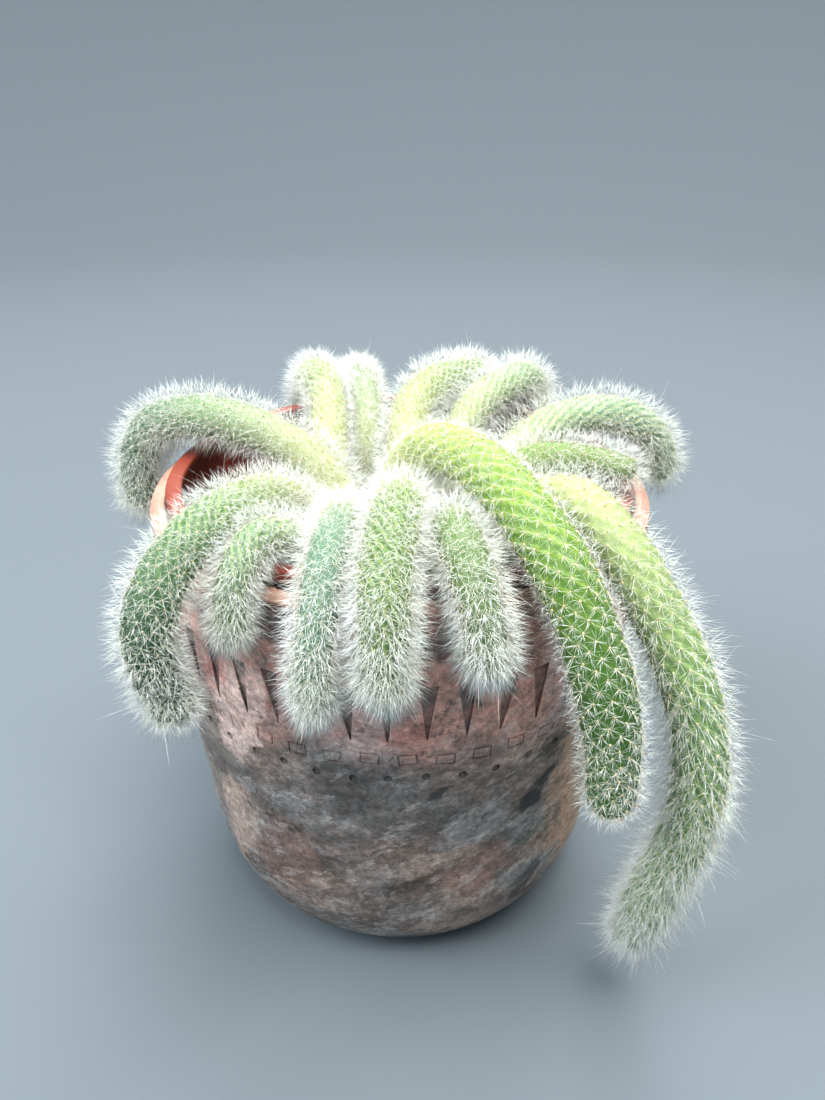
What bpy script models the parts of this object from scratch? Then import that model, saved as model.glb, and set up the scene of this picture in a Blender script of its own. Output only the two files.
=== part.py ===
"""Monkey tail cactus in a nursery pot, standing inside a hand-made clay pot.

Origin at the centre of the clay pot's flat base, +Z up, metres. The front of the
plant faces -Y. Every stem is a closed body of its own that stands in a plain
hole in the soil; the nursery pot and the clay pot are turned shells.
"""

import math
import random

import bpy
import bmesh
from mathutils import Vector
from mathutils.kdtree import KDTree

MM = 0.001
GAP = 0.3 * MM

# Clay pot
CLAY_HEIGHT = 154 * MM
CLAY_RIM_RADIUS = 80 * MM
CLAY_WALL = 5.2 * MM
CLAY_FLOOR = 12 * MM
CLAY_SIDES = 45
CLAY_OUTSIDE = (  # radius and height down the outer side
    (77.2, 154.0), (79.3, 152.8), (80.0, 150.0), (79.4, 133.0), (78.2, 112.0), (75.6, 84.0),
    (73.6, 58.0), (72.2, 36.0), (69.4, 20.0), (64.4, 9.5), (58.2, 3.4), (51.0, 0.0),
)
LUMP = 0.7 * MM
LUMP_INNERMOST = 62 * MM  # the floor and the foot inside this radius stay true

# Pressed band of the clay pot, one of each mark on every flat
WEDGE_TOP, WEDGE_TIP, WEDGE_WIDTH = 129 * MM, 109.5 * MM, 5.0 * MM
TILE_Z, TILE_WIDTH, TILE_HEIGHT = 101.5 * MM, 5.4 * MM, 4.2 * MM
MARK_DEPTH = 0.7 * MM
MARK_REACH = 6 * MM
MARK_SLANT = 0.6 * MM

# Nursery pot
NURSERY_SIDES = 36
LIP_TOP = 158 * MM
LIP_OUTER, LIP_INNER = 74.5 * MM, 69.6 * MM
NURSERY_WALL = 1.8 * MM

# Soil
SOIL_TOP = 139 * MM
SOIL_SIDES = 30
SOIL_DOME = 1.5 * MM
HOLE_DEPTH = 13 * MM
HOLE_CLEARANCE = 1.2 * MM
HOLE_SIDES = 10
STEM_FOOT = 127 * MM
BURIED = SOIL_TOP - STEM_FOOT

# Stem surface
RING_STEP = 4.4 * MM
STEM_SIDES, SLIM_SIDES, SLIM_RADIUS = 12, 10, 5.8 * MM
FOOT_SHARE = 0.86
TAPER, TAPER_REACH = 0.15, 28 * MM  # the narrowing towards a stem's tip
TUBERCLE = 0.45 * MM
BARE_COLLAR = 4 * MM
TIP_RINGS = 3
NEEDLE_WIDTH = 0.45 * MM
NEEDLE_LENGTH = (5.0 * MM, 8.5 * MM)
NEEDLE_SHARE = 0.19  # of the tubercles, spread by steps of the golden ratio
NEEDLE_TILT = 0.42
GOLDEN = 0.618034
CLEAR = 1.0 * MM
SPINE_CLEAR = 1.6 * MM

# Each stem: body radius in mm, skin colour, and its route from the foot to the tip as
# (distance from the pot's axis in mm, bearing in degrees from +X towards +Y, height in mm)
STEMS = {
    "stem_left_arch": (6.8, (0.33, 0.50, 0.24), (
        (20, 178, 127), (20, 178, 140), (27, 172, 154), (43, 169, 165), (60, 168, 169.5),
        (74, 168, 169.5), (85, 168, 166), (91, 169, 158), (93, 170, 149), (92, 171, 142))),
    "stem_front_left_outer": (6.3, (0.22, 0.42, 0.20), (
        (33, -150, 127), (33, -150, 140), (40, -144, 155), (55, -135, 165), (71, -130, 167.8),
        (87.5, -127, 166.5), (98.5, -126, 160), (104, -125.5, 150), (104.5, -125, 140), (102, -124.3, 129))),
    "stem_front_left_short": (4.7, (0.33, 0.50, 0.28), (
        (50, -116, 127), (50, -116, 140), (56, -117, 153), (66, -118, 163), (76, -118.5, 166),
        (84, -118, 161.5), (87.5, -118, 155), (88.5, -118, 148.5))),
    "stem_front_slim": (4.9, (0.36, 0.52, 0.36), (
        (37, -112, 127), (37, -112, 140), (44, -109, 157), (56, -105.5, 166), (70, -103, 168),
        (82, -102, 166), (91, -101.5, 158.5), (96, -101.5, 149.5), (97, -101.5, 139))),
    "stem_front_middle": (6.4, (0.38, 0.55, 0.22), (
        (30, -85, 127), (30, -85, 140), (37, -87, 158), (50, -89, 169), (66, -90.5, 171.5),
        (80, -91.3, 169.5), (91, -91.5, 163.5), (96.5, -91.5, 156), (98, -91.5, 148))),
    "stem_front_right_short": (5.9, (0.38, 0.54, 0.26), (
        (41, -64, 127), (41, -64, 140), (48, -69, 155), (59, -76, 165), (71, -77.5, 168),
        (83, -77.5, 165), (90, -77, 158), (93.5, -76.5, 149))),
    "stem_front_right_main": (7.4, (0.30, 0.56, 0.12), (
        (7, -90, 127), (7, -90, 141), (12, -80, 160), (24, -68, 172.5), (40, -64, 177),
        (58, -63, 176), (76, -63, 171), (89, -62.5, 163), (99, -62, 151), (106, -61.5, 138),
        (110, -61, 124), (111.7, -61, 110.5))),
    "stem_right_long": (7.0, (0.34, 0.56, 0.16), (
        (42, -35, 127), (42, -35, 140), (48, -38, 155), (60, -43, 165), (73, -46.5, 168),
        (85, -48, 163.5), (97, -48.5, 153), (108, -48.2, 139), (115, -47.6, 123), (118.5, -47.2, 106),
        (118, -47, 86), (113, -47, 60), (107.5, -46.5, 32.5))),
    "stem_right_resting": (4.8, (0.40, 0.55, 0.24), (
        (29, -13, 127), (29, -13, 140), (34, -14, 156), (43, -15, 165), (54, -15.5, 167),
        (63, -16, 167), (70.5, -17, 166))),
    "stem_right_back": (6.1, (0.32, 0.50, 0.24), (
        (33, 16, 127), (33, 16, 140), (38, 14, 156), (49, 11, 167.5), (62, 10, 171.5),
        (75, 10, 170), (84, 10, 165), (89.5, 10, 158.5), (91, 10, 152))),
    "stem_back_right": (6.2, (0.38, 0.54, 0.26), (
        (30, 58, 127), (30, 58, 140), (36, 56, 156), (46, 53, 166.5), (58, 51, 170),
        (70, 51, 170), (81, 52, 166), (87.5, 53, 157), (89, 54, 148))),
    "stem_back_middle": (6.4, (0.42, 0.58, 0.24), (
        (15, 85, 127), (15, 85, 141), (20, 85, 158), (32, 82, 168), (47, 76, 170.8),
        (63, 71, 169.5), (77, 68.5, 166.5), (87, 68, 158.5), (91, 68, 148), (92, 68, 139))),
    "stem_back_left": (6.2, (0.50, 0.64, 0.26), (
        (32, 142, 127), (32, 142, 140), (37, 134, 155), (48, 124, 165), (62, 118.5, 168.5),
        (76, 117, 167.5), (87, 116, 160), (92, 116, 150), (93, 116, 140))),
    "stem_back_young": (4.8, (0.55, 0.66, 0.42), (
        (31, 113, 127), (31, 113, 140), (36, 110, 156), (46, 106, 165.5), (58, 104.5, 168.5),
        (70, 104, 168), (79, 104.5, 164))),
}


def clear_scene():
    for obj in list(bpy.data.objects):
        bpy.data.objects.remove(obj, do_unlink=True)


def make_collection(name):
    collection = bpy.data.collections.new(name)
    bpy.context.scene.collection.children.link(collection)
    return collection


def make_material(name, colour, roughness):
    material = bpy.data.materials.new(name)
    material.use_nodes = True
    shader = material.node_tree.nodes["Principled BSDF"]
    shader.inputs["Base Color"].default_value = (*colour, 1.0)
    shader.inputs["Roughness"].default_value = roughness
    material.diffuse_color = (*colour, 1.0)
    return material


def add_object(name, mesh, collection, material=None):
    obj = bpy.data.objects.new(name, mesh)
    collection.objects.link(obj)
    if material:
        mesh.materials.append(material)
    return obj


def mesh_from(bm, name):
    mesh = bpy.data.meshes.new(name)
    bm.to_mesh(mesh)
    bm.free()
    return mesh


def cut_with(obj, bm, name, cutters):
    """Take a cutter's shape out of the object."""
    cutter = add_object(name, mesh_from(bm, name), cutters)
    cutter.hide_render = True
    cutter.display_type = "WIRE"
    cut = obj.modifiers.new(name, "BOOLEAN")
    cut.operation = "DIFFERENCE"
    cut.object = cutter


# Turned shapes

def turned(name, profile, sides, collection, material):
    """Turn a profile of (radius, height) points round Z, listed from the base up the outside."""
    bm = bmesh.new()
    verts = [bm.verts.new((radius, 0.0, height)) for radius, height in reversed(profile)]
    for lower, upper in zip(verts, verts[1:]):
        bm.edges.new((lower, upper))
    obj = add_object(name, mesh_from(bm, name), collection, material)
    screw = obj.modifiers.new("turn", "SCREW")
    screw.steps = screw.render_steps = sides
    screw.use_merge_vertices = True
    screw.merge_threshold = 0.01 * MM
    screw.use_smooth_shade = True
    return obj


def bake(obj):
    """Apply the object's modifiers, so that later steps read the finished shape."""
    graph = bpy.context.evaluated_depsgraph_get()
    mesh = bpy.data.meshes.new_from_object(obj.evaluated_get(graph))
    obj.modifiers.clear()
    obj.data = mesh


def outside_radius(height):
    """Outer radius of the clay pot at a height, between the points of its outline."""
    points = [(radius * MM, level * MM) for radius, level in CLAY_OUTSIDE]
    for (upper_r, upper_z), (lower_r, lower_z) in zip(points, points[1:]):
        if height >= lower_z:
            share = min(1.0, (height - lower_z) / (upper_z - lower_z))
            return lower_r + share * (upper_r - lower_r)
    return points[-1][0]


def clay_profile():
    """Outer side from the rim down, the base, and back up the inner side."""
    outside = [(radius * MM, height * MM) for radius, height in CLAY_OUTSIDE]
    inside = [(0.0, CLAY_FLOOR), (52 * MM, CLAY_FLOOR), (60.5 * MM, 19 * MM)]
    for height in (36 * MM, 84 * MM, 132 * MM):
        inside.append((outside_radius(height) - CLAY_WALL - 1.2 * MM, height))
    inside.append((CLAY_RIM_RADIUS - CLAY_WALL + 0.3 * MM, CLAY_HEIGHT - 0.8 * MM))
    return [(0.0, 0.0)] + outside[::-1] + inside[::-1]


def lump_at(turn, height):
    """Shallow hollow or swelling of the hand-built wall, none at rim and base."""
    share = height / CLAY_HEIGHT
    swell = math.sin(2 * turn + 0.9) + 0.5 * math.sin(3 * turn + 6.0 * share)
    return LUMP * math.sin(math.pi * share) * swell


def press_unevenly(obj):
    for vert in obj.data.vertices:
        radius = math.hypot(vert.co.x, vert.co.y)
        if radius > LUMP_INNERMOST:
            turn = math.atan2(vert.co.y, vert.co.x)
            vert.co.xy = vert.co.xy * (1 + lump_at(turn, vert.co.z) / radius)


def pressed_marks():
    """One wedge for each flat and one tile on each edge between two flats."""
    bm = bmesh.new()
    for index in range(CLAY_SIDES):
        turn = 2 * math.pi * (index + 0.5) / CLAY_SIDES
        slant = MARK_SLANT * math.sin(2.4 * index)
        add_mark(bm, turn, wedge_outline(slant))
        add_mark(bm, turn - math.pi / CLAY_SIDES, tile_outline(slant))
    bmesh.ops.recalc_face_normals(bm, faces=bm.faces)
    return bm


def wedge_outline(slant):
    half = WEDGE_WIDTH / 2
    return ((-half, WEDGE_TOP - slant), (half, WEDGE_TOP + slant), (slant, WEDGE_TIP + 2 * slant))


def tile_outline(slant):
    half_w, half_h = TILE_WIDTH / 2, TILE_HEIGHT / 2
    low, high = TILE_Z - half_h, TILE_Z + half_h
    tilt = slant / 2
    return ((-half_w, high + tilt), (half_w, high - tilt), (half_w, low - tilt), (-half_w, low + tilt))


def add_mark(bm, turn, outline):
    """A prism on the given outline that ends MARK_DEPTH under the flat behind it."""
    out = Vector((math.cos(turn), math.sin(turn), 0.0))
    side = Vector((-out.y, out.x, 0.0))
    flat = math.cos(math.pi / CLAY_SIDES)
    inner = []
    outer = []
    for across, height in outline:
        depth = outside_radius(height) * flat + lump_at(turn, height) - MARK_DEPTH
        corner = side * across + Vector((0.0, 0.0, height))
        inner.append(bm.verts.new(corner + out * depth))
        outer.append(bm.verts.new(corner + out * (depth + MARK_REACH)))
    bm.faces.new(inner)
    bm.faces.new(outer[::-1])
    count = len(outline)
    for index in range(count):
        after = (index + 1) % count
        bm.faces.new((inner[index], outer[index], outer[after], inner[after]))


def build_clay_pot(parts, cutters):
    material = make_material("smoke_fired_clay", (0.30, 0.19, 0.14), 0.62)
    pot = turned("clay_pot", clay_profile(), CLAY_SIDES, parts, material)
    bake(pot)
    press_unevenly(pot)
    cut_with(pot, pressed_marks(), "pressed_marks", cutters)


def nursery_profile():
    """Lip, collar and tapered wall down the outside, then up the inside."""
    floor = CLAY_FLOOR + GAP
    return [
        (0.0, floor), (52.0 * MM, floor), (54.0 * MM, floor + 2 * MM), (70.4 * MM, 135 * MM),
        (72.0 * MM, 138 * MM), (72.4 * MM, 154.2 * MM), (LIP_OUTER, 154.4 * MM),
        (LIP_OUTER, LIP_TOP - 0.5 * MM), (LIP_OUTER - 0.6 * MM, LIP_TOP), (LIP_INNER + 0.5 * MM, LIP_TOP),
        (LIP_INNER, LIP_TOP - 0.5 * MM), (70.4 * MM, 154.0 * MM), (70.2 * MM, 139 * MM),
        (68.6 * MM, 136 * MM), (52.2 * MM, floor + 2.6 * MM), (51.4 * MM, floor + NURSERY_WALL),
        (0.0, floor + NURSERY_WALL),
    ]


def build_nursery_pot(parts):
    material = make_material("terracotta_plastic", (0.62, 0.16, 0.07), 0.45)
    turned("nursery_pot", nursery_profile(), NURSERY_SIDES, parts, material)


def soil_profile():
    floor = CLAY_FLOOR + GAP + NURSERY_WALL + GAP
    return [
        (0.0, floor), (50.6 * MM, floor), (51.6 * MM, floor + 2 * MM), (67.4 * MM, 131 * MM),
        (66.8 * MM, SOIL_TOP - 1.2 * MM), (62.0 * MM, SOIL_TOP), (0.0, SOIL_TOP + SOIL_DOME),
    ]


def stem_holes():
    """One plain upright hole round the foot of each stem."""
    bm = bmesh.new()
    for radius, _, route in STEMS.values():
        foot = place(route[0])
        hole = radius * MM + HOLE_CLEARANCE
        made = bmesh.ops.create_cone(
            bm, cap_ends=True, segments=HOLE_SIDES, radius1=hole, radius2=hole, depth=2 * HOLE_DEPTH,
        )
        middle = (foot.x, foot.y, STEM_FOOT - GAP + HOLE_DEPTH)
        bmesh.ops.translate(bm, verts=made["verts"], vec=middle)
    return bm


def build_soil(parts, cutters):
    material = make_material("potting_soil", (0.06, 0.045, 0.035), 0.95)
    soil = turned("soil", soil_profile(), SOIL_SIDES, parts, material)
    cut_with(soil, stem_holes(), "stem_holes", cutters)


# Stems

def place(point):
    """A route point (distance, bearing, height) as a position in metres."""
    distance, bearing, height = point
    turn = math.radians(bearing)
    return Vector((distance * math.cos(turn), distance * math.sin(turn), height)) * MM


class Route:
    """A smooth line through a stem's points, which leaves the soil straight up."""

    def __init__(self, points):
        self.points = [place(point) for point in points]
        self.marks = [0.0]
        for start, end in zip(self.points, self.points[1:]):
            self.marks.append(self.marks[-1] + (end - start).length)
        self.length = self.marks[-1]
        self.slopes = [self._slope(index) for index in range(len(self.points))]

    def _slope(self, index):
        if index < 2:
            return Vector((0.0, 0.0, 1.0))
        back = self.points[index] - self.points[index - 1]
        if index == len(self.points) - 1:
            return back.normalized()
        ahead = self.points[index + 1] - self.points[index]
        mixed = back * (ahead.length / back.length) + ahead * (back.length / ahead.length)
        return mixed / (back.length + ahead.length)

    def at(self, distance):
        """Position and direction at a distance along the route."""
        distance = min(max(distance, 0.0), self.length)
        index = 0
        while index < len(self.points) - 2 and distance > self.marks[index + 1]:
            index += 1
        span = self.marks[index + 1] - self.marks[index]
        t = (distance - self.marks[index]) / span
        start, end = self.points[index], self.points[index + 1]
        first, last = self.slopes[index] * span, self.slopes[index + 1] * span
        position = (
            start * (2 * t**3 - 3 * t**2 + 1) + first * (t**3 - 2 * t**2 + t)
            + end * (3 * t**2 - 2 * t**3) + last * (t**3 - t**2)
        )
        direction = (
            (end - start) * (6 * t - 6 * t**2) + first * (3 * t**2 - 4 * t + 1) + last * (3 * t**2 - 2 * t)
        )
        return position, direction.normalized()

    def samples(self, step):
        count = max(2, round(self.length / step))
        return [self.at(self.length * index / count)[0] for index in range(count + 1)]


def ring_frames(route, distances):
    """Position and two cross directions for each distance, carried along without twist."""
    frames = []
    across = Vector((1.0, 0.0, 0.0))
    for distance in distances:
        position, direction = route.at(distance)
        across = (across - direction * across.dot(direction)).normalized()
        frames.append((position, across.copy(), direction.cross(across)))
    return frames


def narrowing(route, distance):
    """Share of the full radius that is left at a distance along the route."""
    near = min(max(1 - (route.length - distance) / TAPER_REACH, 0.0), 1.0)
    return 1 - TAPER * near * near * (3 - 2 * near)


def ring_plan(route, radius):
    """Distance along the route and radius share of every ring, from the foot to the tip."""
    body = route.length
    count = round(body / RING_STEP)
    steps = [body * index / count for index in range(count + 1)]
    plan = [(step, narrowing(route, step)) for step in steps]
    plan[0] = (0.0, FOOT_SHARE)
    last = narrowing(route, body)
    for index in range(1, TIP_RINGS):
        angle = math.pi / 2 * index / TIP_RINGS
        plan.append((body + radius * last * math.sin(angle), last * math.cos(angle)))
    return plan


def shape_stem(name, radius, route):
    """Lay a ball of rings along the route; every second corner stands up as a tubercle."""
    plan = ring_plan(route, radius)
    sides = SLIM_SIDES if radius < SLIM_RADIUS else STEM_SIDES
    rings = len(plan)
    bm = bmesh.new()
    bmesh.ops.create_uvsphere(bm, u_segments=sides, v_segments=rings + 1, radius=1.0)
    frames = ring_frames(route, [distance for distance, _ in plan])
    peaks = []
    for vert in bm.verts:
        level = round((1 - math.acos(max(-1.0, min(1.0, vert.co.z))) / math.pi) * (rings + 1))
        if level == 0:
            vert.co = route.at(0.0)[0]
            continue
        if level == rings + 1:
            position, direction = route.at(route.length)
            vert.co = position + direction * (radius * narrowing(route, route.length) + TUBERCLE)
            continue
        turn = math.atan2(vert.co.y, vert.co.x)
        column = round(turn / (2 * math.pi) * sides) % sides
        distance, share = plan[level - 1]
        position, across, over = frames[level - 1]
        overshoot = max(0.0, distance - route.length)
        position = position + route.at(distance)[1] * overshoot
        out = across * math.cos(turn) + over * math.sin(turn)
        raised = (level + column) % 2 == 0
        relief = 0.0 if distance < BURIED else TUBERCLE * (1 if raised else -1)
        vert.co = position + out * (radius * share + relief * share)
        if raised and distance > BURIED + BARE_COLLAR:
            lean = out * share + route.at(distance)[1] * math.sqrt(max(0.0, 1 - share**2))
            peaks.append((level, column, vert, lean.normalized()))
    peaks.sort(key=lambda peak: peak[:2])
    return bm, [(vert, lean) for _, _, vert, lean in peaks]


def clears_pots(point):
    """True when a spine's point is outside both pots, the soil and the floor."""
    distance = math.hypot(point.x, point.y)
    if point.z < CLEAR:
        return False
    if distance < LIP_INNER - CLEAR:
        return point.z > SOIL_TOP + SOIL_DOME + CLEAR
    if distance < LIP_OUTER + CLEAR:
        return point.z > LIP_TOP + CLEAR
    return point.z > CLAY_HEIGHT + CLEAR or distance > outside_radius(point.z) + LUMP + CLEAR


def clears_stems(point, name, lines):
    """True when a spine's point keeps off the bodies of the other stems."""
    for other, (radius, samples) in lines.items():
        if other == name:
            continue
        limit = radius + TUBERCLE + CLEAR
        if any((point - sample).length < limit for sample in samples):
            return False
    return True


def clears_needles(points, name, taken):
    """True when a spine keeps off the spines of the other stems."""
    for other, others in taken:
        if other != name and (others[-1] - points[-1]).length < 18 * MM:
            if any((a - b).length < SPINE_CLEAR for a in points for b in others):
                return False
    return True


def choose_needles(name, peaks, lines, taken, dice):
    """Pick spread-out tubercles and a free direction for the spine on each."""
    chosen = []
    for index, (vert, out) in enumerate(peaks):
        if index * GOLDEN % 1.0 > NEEDLE_SHARE:
            continue
        for _ in range(8):
            tilt = Vector((dice.uniform(-1, 1), dice.uniform(-1, 1), dice.uniform(-1, 1))) * NEEDLE_TILT
            tip = vert.co + (out + tilt).normalized() * dice.uniform(*NEEDLE_LENGTH)
            line = [vert.co.lerp(tip, share) for share in (0.3, 0.5, 0.7, 0.85, 1.0)]
            free = all(clears_pots(point) and clears_stems(point, name, lines) for point in line)
            if free and clears_needles(line, name, taken):
                taken.append((name, line))
                chosen.append((vert, tip))
                break
    return chosen


def raise_needles(bm, chosen):
    """Turn each chosen corner into a small four-sided foot and draw its middle out to a point."""
    tips = KDTree(len(chosen))
    for index, (vert, _) in enumerate(chosen):
        tips.insert(vert.co, index)
    tips.balance()
    ends = [tip for _, tip in chosen]
    made = bmesh.ops.bevel(
        bm, geom=[vert for vert, _ in chosen], offset=NEEDLE_WIDTH, offset_type="OFFSET",
        segments=1, profile=0.5, affect="VERTICES",
    )
    feet = [face for face in made["faces"] if face.calc_perimeter() < 8 * NEEDLE_WIDTH]
    middles = bmesh.ops.poke(bm, faces=feet)["verts"]
    for vert in middles:
        _, index, _ = tips.find(vert.co)
        vert.co = ends[index]


def build_stems(parts):
    """All stems, with the spines of each kept clear of what is already there."""
    routes = {name: Route(route) for name, (_, _, route) in STEMS.items()}
    lines = {name: (STEMS[name][0] * MM, routes[name].samples(2 * MM)) for name in STEMS}
    taken = []
    dice = random.Random(14)
    for name, (radius, colour, _) in STEMS.items():
        bm, peaks = shape_stem(name, radius * MM, routes[name])
        chosen = choose_needles(name, peaks, lines, taken, dice)
        raise_needles(bm, chosen)
        material = make_material("skin_" + name, colour, 0.6)
        add_object(name, mesh_from(bm, name), parts, material)


def main():
    clear_scene()
    parts = make_collection("potted_monkey_tail_cactus")
    cutters = make_collection("cutters")
    build_clay_pot(parts, cutters)
    build_nursery_pot(parts)
    build_soil(parts, cutters)
    build_stems(parts)


main()
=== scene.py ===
"""Dressed model of a monkey tail cactus in a nursery pot inside a hand-made clay pot.

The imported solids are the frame. Every stem is given its tubercled skin and its coat of
white hair-like spines, and the pots and the soil get their true surfaces. Metres, +Z up,
origin at the centre of the clay pot's base, the front of the plant towards -Y.
"""

import logging
import math
from collections.abc import Callable, Sequence
from dataclasses import dataclass
from enum import Enum

import bmesh
import bpy
import numpy as np
from bpy.types import ID, Material, NodeSocket, Object
from mathutils import Matrix, Vector, noise
from mathutils.bvhtree import BVHTree

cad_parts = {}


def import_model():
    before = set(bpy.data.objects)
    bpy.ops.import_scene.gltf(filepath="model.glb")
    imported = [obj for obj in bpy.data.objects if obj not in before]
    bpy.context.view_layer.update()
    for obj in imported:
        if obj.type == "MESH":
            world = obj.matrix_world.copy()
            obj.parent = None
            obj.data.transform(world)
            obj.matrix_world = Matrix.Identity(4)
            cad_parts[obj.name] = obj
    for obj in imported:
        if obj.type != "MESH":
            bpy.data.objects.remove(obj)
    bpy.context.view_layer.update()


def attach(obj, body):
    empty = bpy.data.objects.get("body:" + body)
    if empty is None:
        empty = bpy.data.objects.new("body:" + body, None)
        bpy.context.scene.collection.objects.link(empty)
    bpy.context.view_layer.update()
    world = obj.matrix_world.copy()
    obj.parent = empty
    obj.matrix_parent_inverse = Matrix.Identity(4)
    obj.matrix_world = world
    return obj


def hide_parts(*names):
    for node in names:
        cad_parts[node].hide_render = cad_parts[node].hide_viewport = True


log = logging.getLogger("monkey_tail_cactus")

MM = 0.001
PHOTO_HEIGHT = 1100
BURIED = 12 * MM
Colour = tuple[float, float, float]
Value = NodeSocket | float | Sequence[float]


def tint(red: int, green: int, blue: int) -> Colour:
    """A screen colour from 0 to 255 as the linear colour that a shader takes.

    Args:
        red: red part.
        green: green part.
        blue: blue part.

    Returns:
        The three linear parts.
    """
    parts = [part / 255 for part in (red, green, blue)]
    linear = [part / 12.92 if part < 0.04 else ((part + 0.055) / 1.055) ** 2.4 for part in parts]
    return linear[0], linear[1], linear[2]


def eased(value: np.ndarray | float) -> np.ndarray | float:
    """Value held to 0..1 with a soft start and end."""
    held = np.clip(value, 0.0, 1.0)
    return held * held * (3 - 2 * held)


# Finishes


class Graph:
    """The nodes of one material, read from the place on the object."""

    def __init__(self, name: str) -> None:
        """Start a material with its Principled shader.

        Args:
            name: the material's name.
        """
        self.material = bpy.data.materials.new(name)
        self.material.use_nodes = True
        self.nodes = self.material.node_tree.nodes
        self.shader = self.nodes["Principled BSDF"]
        self.place = self.add("TexCoord", {}, "Object")

    def feed(self, socket: NodeSocket, value: Value) -> None:
        """Give a socket a link or a plain value.

        Args:
            socket: the input that is set.
            value: an output to link, a number, or a colour or vector.
        """
        if isinstance(value, NodeSocket):
            self.material.node_tree.links.new(value, socket)
        elif isinstance(value, (int, float)):
            socket.default_value = value
        else:
            size = len(socket.default_value)
            socket.default_value = (*value, 1.0)[:size]

    def add(self, kind: str, inputs: dict[str | int, Value], output: str | int = 0,
            **settings: str) -> NodeSocket:
        """Add a node.

        Args:
            kind: its type, without the word ShaderNode.
            inputs: what its inputs are given, by their names or numbers.
            output: the output that is wanted.
            settings: its choices by name.

        Returns:
            That output.
        """
        node = self.nodes.new("ShaderNode" + kind)
        for name, choice in settings.items():
            setattr(node, name, choice)
        for name, value in inputs.items():
            self.feed(node.inputs[name], value)
        return node.outputs[output]

    def set(self, **inputs: Value) -> None:
        """Set the shader's inputs by their names, with _ for a space."""
        for name, value in inputs.items():
            self.feed(self.shader.inputs[name.replace("_", " ")], value)

    def attribute(self, name: str) -> NodeSocket:
        """A number that the mesh carries at each point."""
        return self.add("Attribute", {}, "Fac", attribute_name=name)

    def reckon(self, kind: str, *values: Value) -> NodeSocket:
        """Two or three values taken together by the named arithmetic."""
        return self.add("Math", dict(enumerate(values)), operation=kind)

    def noise(self, scale: float, detail: float = 4.0, rough: float = 0.55,
              squeeze: Sequence[float] = (1, 1, 1), slope: float = 0.0,
              at: NodeSocket | None = None) -> NodeSocket:
        """Smooth random pattern.

        Args:
            scale: repeats in a metre.
            detail: how many finer layers it has.
            rough: weight of the finer layers.
            squeeze: factor on each axis; the pattern is drawn out along the others.
            slope: turn of those axes round Y, in degrees.
            at: the place it is read at, or the object's own.

        Returns:
            A value about 0.5.
        """
        mapped = self.add("Mapping", {
            "Vector": at or self.place, "Rotation": (0.0, math.radians(slope), 0.0),
            "Scale": [1 / factor for factor in squeeze],
        }, vector_type="TEXTURE")
        inputs = {"Vector": mapped, "Scale": scale, "Detail": detail, "Roughness": rough}
        return self.add("TexNoise", inputs)

    def warped(self, scale: float, reach: float) -> NodeSocket:
        """The place pushed about by noise, for ragged edges.

        Args:
            scale: repeats in a metre.
            reach: how far it is pushed.

        Returns:
            The pushed place.
        """
        shaken = self.add("TexNoise", {"Vector": self.place, "Scale": scale}, "Color")
        centred = self.add("VectorMath", {0: shaken, 1: (0.5, 0.5, 0.5)}, operation="SUBTRACT")
        scaled = self.add("VectorMath", {0: centred, "Scale": reach}, operation="SCALE")
        return self.add("VectorMath", {0: scaled, 1: self.place}, operation="ADD")

    def spot(self, middle: Sequence[float], reach: Sequence[float], turn: Sequence[float],
             at: NodeSocket) -> NodeSocket:
        """A soft ball of influence.

        Args:
            middle: its centre in millimetres.
            reach: its half sizes in millimetres.
            turn: its turn on each axis in degrees.
            at: the place it is read at.

        Returns:
            1 in the middle, 0 at and past the edge.
        """
        mapped = self.add("Mapping", {
            "Vector": at, "Location": [value * MM for value in middle],
            "Rotation": [math.radians(value) for value in turn],
            "Scale": [value * MM for value in reach],
        }, vector_type="TEXTURE")
        return self.add("TexGradient", {"Vector": mapped}, "Fac", gradient_type="SPHERICAL")

    def level(self, value: NodeSocket, low: float, high: float, bottom: float = 0.0,
              top: float = 1.0) -> NodeSocket:
        """Value from low..high brought smoothly to bottom..top."""
        inputs = {"Value": value, "From Min": low, "From Max": high, "To Min": bottom, "To Max": top}
        return self.add("MapRange", inputs, interpolation_type="SMOOTHSTEP")

    def mix(self, share: Value, first: Value, second: Value, blend: str = "MIX") -> NodeSocket:
        """Two colours mixed by a share of the second."""
        return self.add("Mix", {0: share, 6: first, 7: second}, 2, data_type="RGBA", blend_type=blend)

    def shade(self, colour: NodeSocket, value: NodeSocket, low: float, high: float) -> NodeSocket:
        """Colour times low where a pattern is under 0.3, and times high where it is over 0.7."""
        return self.mix(1.0, colour, self.level(value, 0.3, 0.7, low, high), "MULTIPLY")

    def bump(self, height: NodeSocket, depth: float, strength: float = 1.0,
             under: NodeSocket | None = None) -> NodeSocket:
        """Fine relief for the shader's normal, its depth in metres, on top of another if given."""
        below = {"Normal": under} if under else {}
        return self.add("Bump", {"Height": height, "Distance": depth, "Strength": strength, **below})


@dataclass(frozen=True)
class Cloud:
    """A soft ragged patch on the clay, sizes in millimetres and turn in degrees."""

    colour: Colour
    middle: tuple[float, float, float]
    reach: tuple[float, float, float]
    turn: tuple[float, float, float] = (0, 0, 0)
    full: float = 0.35
    share: float = 0.85


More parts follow.
